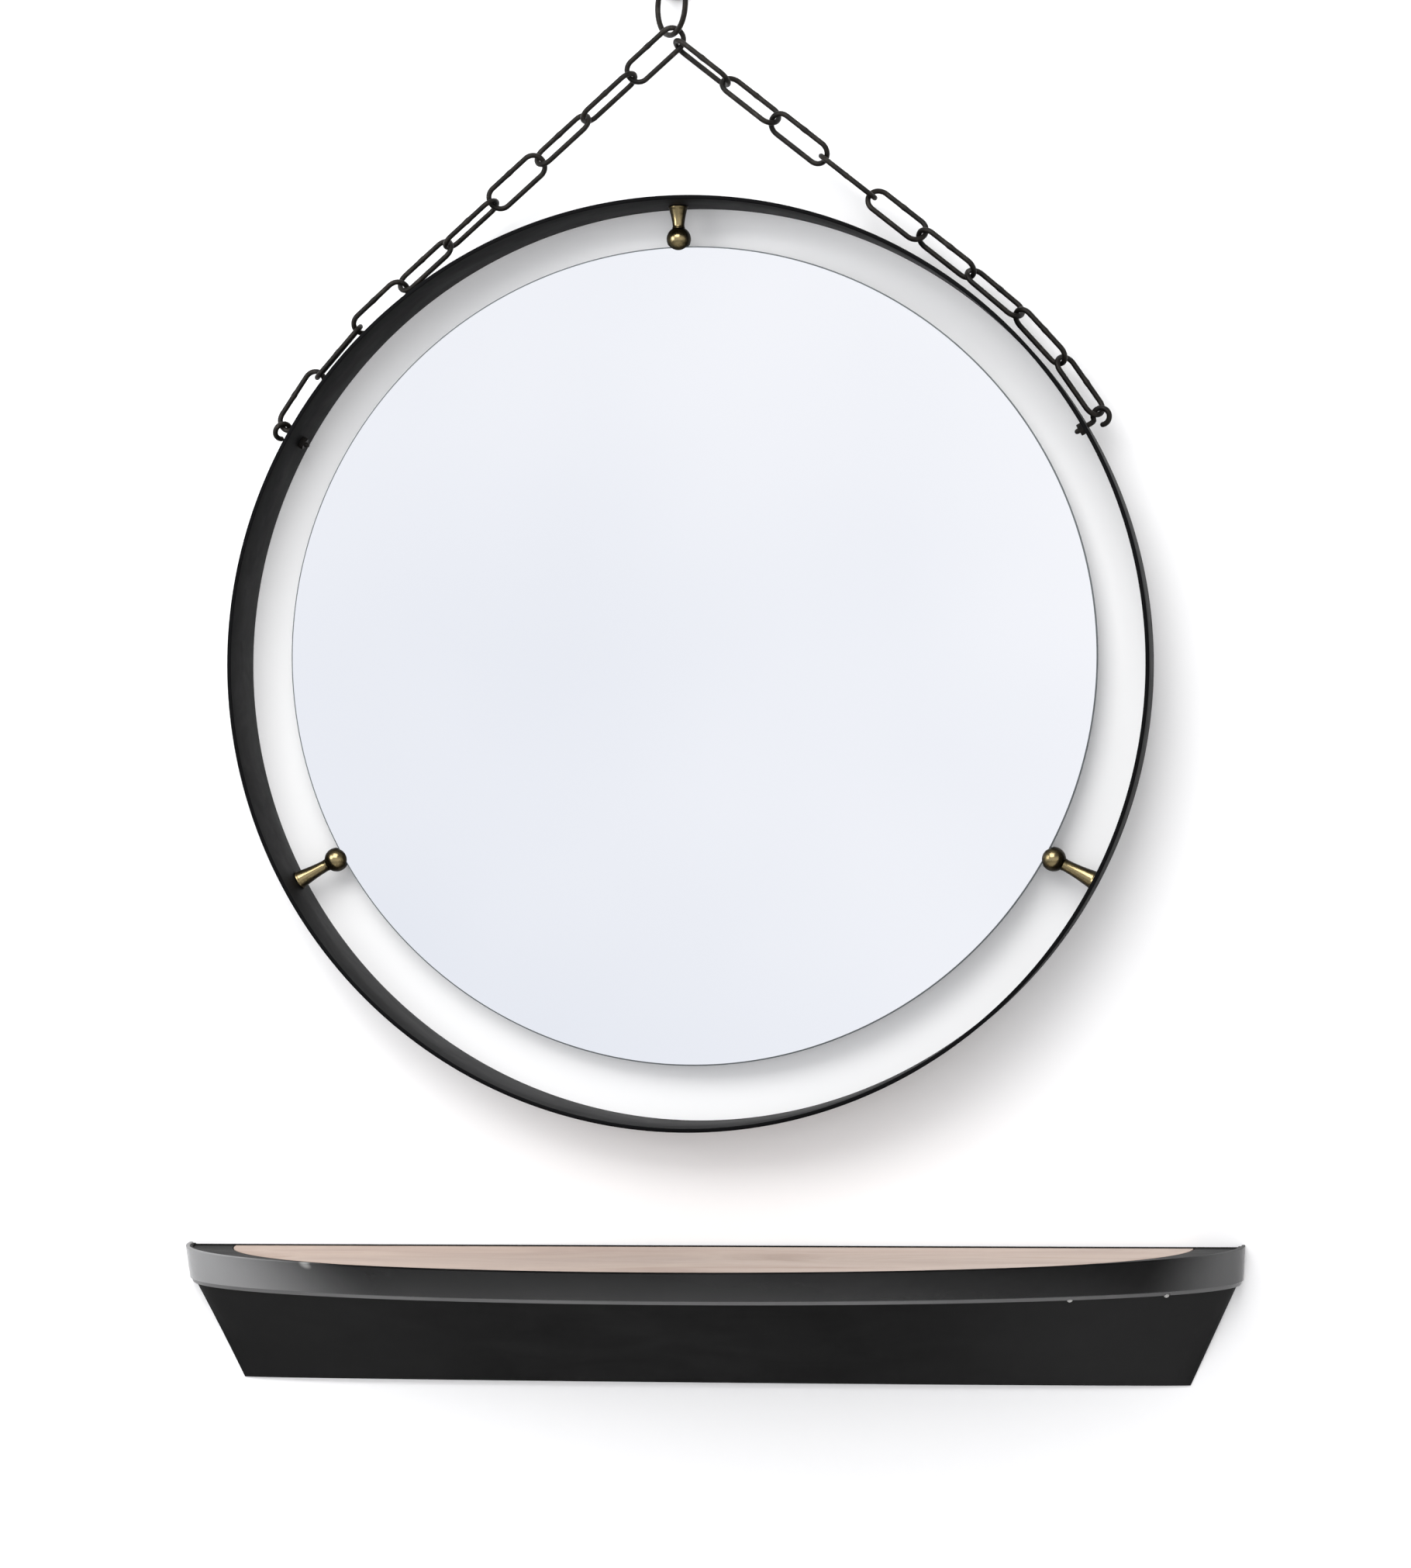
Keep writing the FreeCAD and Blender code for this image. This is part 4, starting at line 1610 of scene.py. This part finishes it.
@dataclass
class Fittings:
    """Three turned brass posts on the hoop, slotted balls that grip the glass, and their screws.

    Lengths are in metres, angles in degrees. A post has a foot at the hoop, a taper, a collar and a
    cup for its ball. The brass is painted bright gold where it faces the room and dark towards its sides, a
    painted reflection, and keeps its patina in corners.
    """

    finishes: Finishes
    hoop: HoopSize
    glass: GlassSize
    post_base: float = 0.0074
    post_waist: float = 0.0046
    post_gap: float = 0.0002
    post_steps: int = 48
    post_crease: float = 40.0
    foot_ease: float = 0.0003
    foot_shares: tuple[float, ...] = (1.0, 0.985, 0.93, 0.9)
    foot_rises: tuple[float, ...] = (0.0004, 0.0014, 0.0018, 0.0026)
    taper_shares: tuple[float, ...] = (0.3, 0.45, 0.6, 0.75, 0.88, 0.96)
    taper_waist_share: float = 0.98
    taper_short: float = 0.0008
    collar_shares: Pair = (1.04, 1.05)
    collar_drops: Pair = (0.0006, 0.0002)
    cup_shares: tuple[float, ...] = (1.0, 0.75, 0.5, 0.25, 0.0)
    ball_radius: float = 0.00925
    ball_outside_edge: float = 0.0058
    ball_rows: int = 32
    ball_steps: int = 56
    slot_half: float = 0.0036
    slot_floor: float = 0.0012
    sheen_from: float = 0.55
    sheen_over: float = 0.4
    patina_share: float = 0.15
    patina_foot: float = 0.006
    patina_neck: float = 0.004
    patina_ball: float = 0.007
    screw_head: float = 0.004
    screw_radius: float = 0.002
    screw_sink: float = 0.0022
    screw_below: float = 0.0002
    screw_edge: float = 0.0002
    screw_length: float = 0.012
    screw_steps: int = 24
    screw_crease: float = 30.0
    socket_share: float = 0.36
    socket_depth: float = 0.0016

    def spoke(self, post: Post, radius: float) -> Matrix:
        """Placement on a post's axis, z towards the hoop's centre and x towards the room.

        Args:
            post: The post.
            radius: Distance from the hoop's centre.

        Returns:
            The 4 by 4 matrix.
        """
        turn = math.radians(post.value)
        out = RIGHT * math.cos(turn) + UP * math.sin(turn)
        middle = ROOM * (self.glass.front - self.glass.thickness / 2) + UP * self.hoop.height
        return along_z(middle + out * radius, -out)

    def ball_distance(self, post: Post) -> float:
        """How far a ball's centre is from the hoop's centre.

        Args:
            post: The ball's post.

        Returns:
            The distance.
        """
        lift = self.glass.rise * math.sin(math.radians(post.value))
        edge = lift + math.sqrt(self.glass.radius ** 2 - self.glass.rise ** 2 + lift ** 2)
        return edge + self.ball_outside_edge

    def mark_sheen(self, obj: Object, dull: Sequence[tuple[Vector, float]]) -> None:
        """Marks the brass's painted sheen: a painted reflection, bright where its faces turn to the room,
        that stays patina near given corners.

        Args:
            obj: The brass piece.
            dull: Points round which the patina stays, and how far.
        """
        values = obj.data.attributes.new(BRASS_SHEEN, "FLOAT", "POINT")
        for vertex, item in zip(obj.data.vertices, values.data):
            # Painted reflection: brightest where the face turns to the room, dark towards the sides
            facing_sheen = max(0.0, min(1.0, (-vertex.normal.y - self.sheen_from) / self.sheen_over))
            for point, reach in dull:
                away = (vertex.co - point).length / reach
                facing_sheen *= min(1.0, self.patina_share + (1.0 - self.patina_share) * away)
            item.value = facing_sheen

    def post_outline(self, length: float, end: float) -> list[Pair]:
        """Outline of a post, from its foot to the cup.

        Args:
            length: Distance from the hoop's inner face to the ball's centre.
            end: Distance from the hoop's inner face to the cup's edge.

        Returns:
            Radius and height of each point.
        """
        base, waist, gap = self.post_base, self.post_waist, self.post_gap
        outline = [(0.0, gap), (base - self.foot_ease, gap)]
        outline += [(base * share, gap + rise) for share, rise in zip(self.foot_shares, self.foot_rises)]
        ankle, low = outline[-1]
        for share in self.taper_shares:
            radius = ankle + (waist * self.taper_waist_share - ankle) * math.sin(share * math.pi / 2)
            outline.append((radius, low + (end - low - self.taper_short) * share))
        outline += [(waist * share, end - drop) for share, drop in zip(self.collar_shares, self.collar_drops)]
        cup = self.ball_radius + SEAT
        for radius in (waist * share for share in self.cup_shares):
            outline.append((radius, length - math.sqrt(cup ** 2 - radius ** 2)))
        return outline

    def build_posts(self) -> None:
        """Turned posts from the hoop to the balls."""
        for post in Post:
            length = self.hoop.inner() - self.ball_distance(post)
            end = length - math.sqrt((self.ball_radius + SEAT) ** 2 - self.post_waist ** 2)
            place, word = self.spoke(post, self.hoop.inner()), post.name.lower()
            bm = lathe(self.post_outline(length, end), place, self.post_steps)
            piece = to_object(f"turned_post_{word}", bm, self.finishes.brass, crease=self.post_crease)
            self.mark_sheen(piece, [(place.to_translation(), self.patina_foot),
                                     (place @ (UP * end), self.patina_neck)])
            publish(piece, Body.MIRROR, "antique_brass", f"post_{word}")

    def build_balls(self) -> None:
        """Slotted balls that take the glass edge."""
        r = self.ball_radius
        turns = [math.pi * k / self.ball_rows for k in range(self.ball_rows + 1)]
        outline = [(r * math.sin(turn), -r * math.cos(turn)) for turn in turns]
        slot_middle = self.ball_outside_edge - self.slot_floor + r
        slot = Matrix.Translation(UP * slot_middle) @ Matrix.Diagonal((self.slot_half * 2, r * 4, r * 2, 1.0))
        for post in Post:
            place, word = self.spoke(post, self.ball_distance(post)), post.name.lower()
            bm = lathe(outline, place, self.ball_steps)
            ball = to_object(f"slotted_ball_{word}", bm, self.finishes.brass)
            block = bmesh.new()
            bmesh.ops.create_cube(block, size=1.0, matrix=place @ slot)
            cut(ball, to_object("slot", block))
            self.mark_sheen(ball, [(place @ (UP * -r), self.patina_ball)])
            publish(ball, Body.MIRROR, "antique_brass", f"ball_{word}")

    def screw_shape(self) -> Object:
        """Countersunk screw with a hexagon socket, head at the origin, shank along z.

        Returns:
            The screw, for copying.
        """
        head, shank, edge, count = self.screw_head, self.screw_radius, self.screw_edge, self.screw_steps
        socket = hexagon(head * self.socket_share, count)
        rounds = [(head - edge, 0.0), (head, edge), (shank, self.screw_sink), (shank, self.screw_length)]
        levels = [(socket, self.socket_depth), (socket, 0.0)]
        levels += [([radius] * count, z) for radius, z in rounds]
        return to_object("screw", stack(levels, Matrix.Identity(4)), crease=self.screw_crease)

    def build_screws(self) -> None:
        """Flush screws from outside the hoop into the posts."""
        places = [self.spoke(post, self.hoop.radius - self.screw_below) for post in Post]
        screws = fasteners("hoop_screws", self.screw_shape(), places, self.finishes.iron, self.screw_crease)
        publish(screws, Body.MIRROR, "chain_iron", "post_screws")

    def build(self) -> None:
        """Builds posts, balls and screws, and dresses the linings."""
        self.build_posts()
        self.build_balls()
        self.build_screws()
        dress(self.finishes.liner, "ball_liners")


@dataclass
class RoundMirror:
    """Deep hoop, drilled for hooks and fittings, with the mirror disc inside it.

    Lengths are in metres, angles in degrees. Faces whose normal is nearer the room's direction than
    flat_normal says are silvered.
    """

    finishes: Finishes
    hoop: HoopSize
    glass: GlassSize
    hooks: Hooks
    fittings: Fittings
    edge: float = 0.0006
    edge_steps: int = 3
    hoop_steps: int = 288
    drill_play: float = 0.0001
    drill_over: float = 0.004
    drill_length: float = 0.02
    screw_drill_steps: int = 24
    hook_drill_steps: int = 20
    glass_steps: int = 256
    glass_crease: float = 20.0
    arris: float = 0.0011
    flat_normal: float = 0.99

    def flat(self, rise: float) -> Matrix:
        """Placement on the hoop's centre line, z towards the room.

        Args:
            rise: Height above the hoop's centre.

        Returns:
            The 4 by 4 matrix.
        """
        return axes(RIGHT, UP, ROOM, UP * (self.hoop.height + rise))

    def drills(self) -> list[BMesh]:
        """Drills for the fittings' countersunk screws and the shanks of the hooks.

        Returns:
            A mesh for each hole.
        """
        over, end, screw = self.drill_over, self.drill_length, self.fittings
        head, shank = screw.screw_head + self.drill_play, screw.screw_radius + self.drill_play
        countersink = [(0.0, -over), (head * 2, -over), (head, screw.screw_below),
                       (shank, screw.screw_sink + screw.screw_below), (shank, end), (0.0, end)]
        drills = [lathe(countersink, screw.spoke(post, self.hoop.radius), self.screw_drill_steps)
                  for post in Post]
        wire = self.hooks.chain.wire_radius + self.drill_play
        bore = [(0.0, 0.0), (wire, 0.0), (wire, end), (0.0, end)]
        for hook in map(self.hooks.place, Side):
            place = along_z(hook.root + hook.inward * (hook.depth - end / 2), hook.inward)
            drills.append(lathe(bore, place, self.hook_drill_steps))
        return drills

    def build_hoop(self) -> None:
        """Hoop of flat bar with its holes."""
        inner, outer, depth = self.hoop.inner(), self.hoop.radius, self.hoop.depth
        corners = [(inner, 0.0), (outer, 0.0), (outer, depth), (inner, depth)]
        outline = rounded(corners, self.edge, self.edge_steps)
        bm = lathe(outline, self.flat(0.0), self.hoop_steps, closed=True)
        hoop = to_object("hoop_bar", bm, self.finishes.hoop)
        for drill in self.drills():
            cut(hoop, to_object("drill", drill))
        publish(hoop, Body.MIRROR, "black_steel", "mirror_hoop")

    def build_glass(self) -> None:
        """Silvered disc with a fine ground arris."""
        r, a, front = self.glass.radius, self.arris, self.glass.front
        back = front - self.glass.thickness
        outline = [(0.0, back), (r - a, back), (r, back + a), (r, front - a), (r - a, front), (0.0, front)]
        bm = lathe(outline, self.flat(self.glass.rise), self.glass_steps)
        glass = to_object("mirror_disc", bm, self.finishes.silver, self.finishes.glass_edge,
                          crease=self.glass_crease)
        for face in glass.data.polygons:
            face.material_index = 0 if abs(face.normal.y) > self.flat_normal else 1
        publish(glass, Body.MIRROR, "mirror_glass", "mirror_glass")

    def build(self) -> None:
        """Builds the hoop and the disc, and dresses the disc's backing."""
        self.build_hoop()
        self.build_glass()
        dress(self.finishes.backing, "mirror_backing")


# Studio


@dataclass(frozen=True)
class Lamp:
    """Square soft lamp: its place, the length of its side, its power in watts, and whether it glares."""

    name: str
    place: Triple
    size: float
    power: float
    glare: bool = True

    def build(self, aim: Triple) -> None:
        """Sets the lamp up.

        Args:
            aim: The point that it faces.
        """
        light = bpy.data.lights.new(self.name, "AREA")
        light.size = self.size
        light.energy = self.power
        lamp = new_object(self.name, light)
        lamp.location = self.place
        lamp.rotation_mode = "QUATERNION"
        lamp.rotation_quaternion = (Vector(aim) - Vector(self.place)).to_track_quat("-Z", "Y")
        lamp.visible_glossy = self.glare


@dataclass
class Studio:
    """White wall, pale floor, soft light and the camera.

    Lengths are in metres, angles in degrees, the sensor in millimetres, and the focal length in pixels
    of the picture's height. The room's light turns from room_low to room along room_way, and dims where
    it comes from behind, above or below.
    """

    camera_place: Triple = (0.5005, -2.8087, 0.4461)
    camera_yaw: float = 9.94
    camera_pitch: float = -0.89
    camera_roll: float = -1.2
    focal_pixels: float = 4824.0
    frame_pixels: float = 2022.0
    sensor: float = 36.0
    view_end: float = 50.0
    room_half: float = 4.0
    floor_level: float = -0.95
    wall_gap: float = 0.0006
    wall_paint: Paint = Paint("wall_paint", (0.93, 0.93, 0.93), glow=0.08, one_sided=True)
    floor_paint: Paint = Paint("floor_paint", (0.56, 0.555, 0.55))
    lamps: tuple[Lamp, ...] = (
        Lamp("window", (-1.1, -0.95, 0.88), 0.7, 7.0),
        Lamp("upper", (-0.3, -2.2, 2.35), 2.0, 64.0),
        Lamp("front", (0.4, -4.2, 0.9), 3.0, 28.0, glare=False),
        Lamp("back", (0.6, 3.0, 1.8), 2.5, 45.0))
    lamp_aim: Triple = (0.0, 0.0, 0.45)
    room: Colour = (1.0, 0.995, 1.02)
    room_low: Colour = (0.825, 0.845, 0.905)
    room_way: Triple = (0.9, 0.0, 1.0)
    room_span: Pair = (-0.18, 0.28)
    room_clouds: Pattern = Pattern(7.0, 2.0, 0.5)
    room_sway: float = 0.4
    behind: Colour = (0.42, 0.42, 0.43)
    behind_span: Pair = (-0.1, 0.25)
    room_strengths: Pair = (1.0, 0.22)
    room_strength_span: Pair = (0.15, 0.55)

    def sheet(self, name: str, corners: Sequence[Triple], paint: Paint) -> Object:
        """Flat staged sheet.

        Args:
            name: Its name.
            corners: Its four corners, counter-clockwise seen from its face.
            paint: Its paint.

        Returns:
            The sheet.
        """
        mesh = bpy.data.meshes.new(name)
        mesh.from_pydata(corners, [], [tuple(range(len(corners)))])
        mesh.materials.append(paint.material())
        obj = new_object(name, mesh)
        return obj

    def build_room(self) -> None:
        """Wall behind the object and floor well below it."""
        y, low, far = self.wall_gap, self.floor_level, self.room_half
        wall = self.sheet("wall", [(-far, y, low), (far, y, low), (far, y, far), (-far, y, far)],
                          self.wall_paint)
        wall.visible_shadow = False
        self.sheet("floor", [(-far, -far, low), (far, -far, low), (far, far, low), (-far, far, low)],
                   self.floor_paint)

    def build_world(self) -> None:
        """Bright, faintly blue light from all round, dimmer from behind, above and below."""
        world = bpy.data.worlds.new("room_light")
        bpy.context.scene.world = world
        world.use_nodes = True
        g = Graph(world.node_tree)
        way = g.add("ShaderNodeTexCoord").outputs["Generated"]
        split = g.add("ShaderNodeSeparateXYZ", {"Vector": way})
        slope = g.add("ShaderNodeVectorMath", {0: way, 1: self.room_way}, operation="DOT_PRODUCT")
        clouds = g.noise(self.room_clouds, way)
        light = g.math("MULTIPLY_ADD", clouds, self.room_sway, slope.outputs["Value"])
        front = g.mix(g.spread(light, (0.0, 1.0), self.room_span), self.room_low, self.room)
        back = g.spread(split.outputs["Y"], (0.0, 1.0), self.behind_span)
        steep = g.math("ABSOLUTE", split.outputs["Z"])
        g.fill(world.node_tree.nodes["Background"], {
            "Color": g.mix(back, front, self.behind),
            "Strength": g.spread(steep, self.room_strengths, self.room_strength_span)})

    def build_camera(self) -> None:
        """Camera a little right of the middle, looking back to the left."""
        data = bpy.data.cameras.new("camera")
        data.sensor_width = self.sensor
        data.lens = self.focal_pixels / self.frame_pixels * self.sensor
        data.clip_end = self.view_end
        camera = new_object("camera", data)
        turn = (Matrix.Rotation(math.radians(self.camera_yaw), 4, "Z")
                @ Matrix.Rotation(math.radians(90.0 + self.camera_pitch), 4, "X")
                @ Matrix.Rotation(math.radians(self.camera_roll), 4, "Z"))
        camera.matrix_world = Matrix.Translation(self.camera_place) @ turn
        bpy.context.scene.camera = camera

    def build(self) -> None:
        """Builds room, light and camera."""
        bpy.context.scene.view_settings.view_transform = "Standard"
        self.build_room()
        self.build_world()
        for lamp in self.lamps:
            lamp.build(self.lamp_aim)
        self.build_camera()


def main() -> None:
    """Builds the set in order: console, chain, hooks, mirror, fittings, studio."""
    logging.basicConfig(level=logging.INFO, format="%(name)s: %(message)s")
    finishes = Finishes()
    hoop, glass = HoopSize(), GlassSize()
    chain = Chain(finishes, hoop)
    hooks = Hooks(finishes, hoop, chain)
    fittings = Fittings(finishes, hoop, glass)
    mirror = RoundMirror(finishes, hoop, glass, hooks, fittings)
    for assembly in (Console(finishes), chain, hooks, mirror, fittings, Studio()):
        assembly.build()


if __name__ == "__main__":
    main()
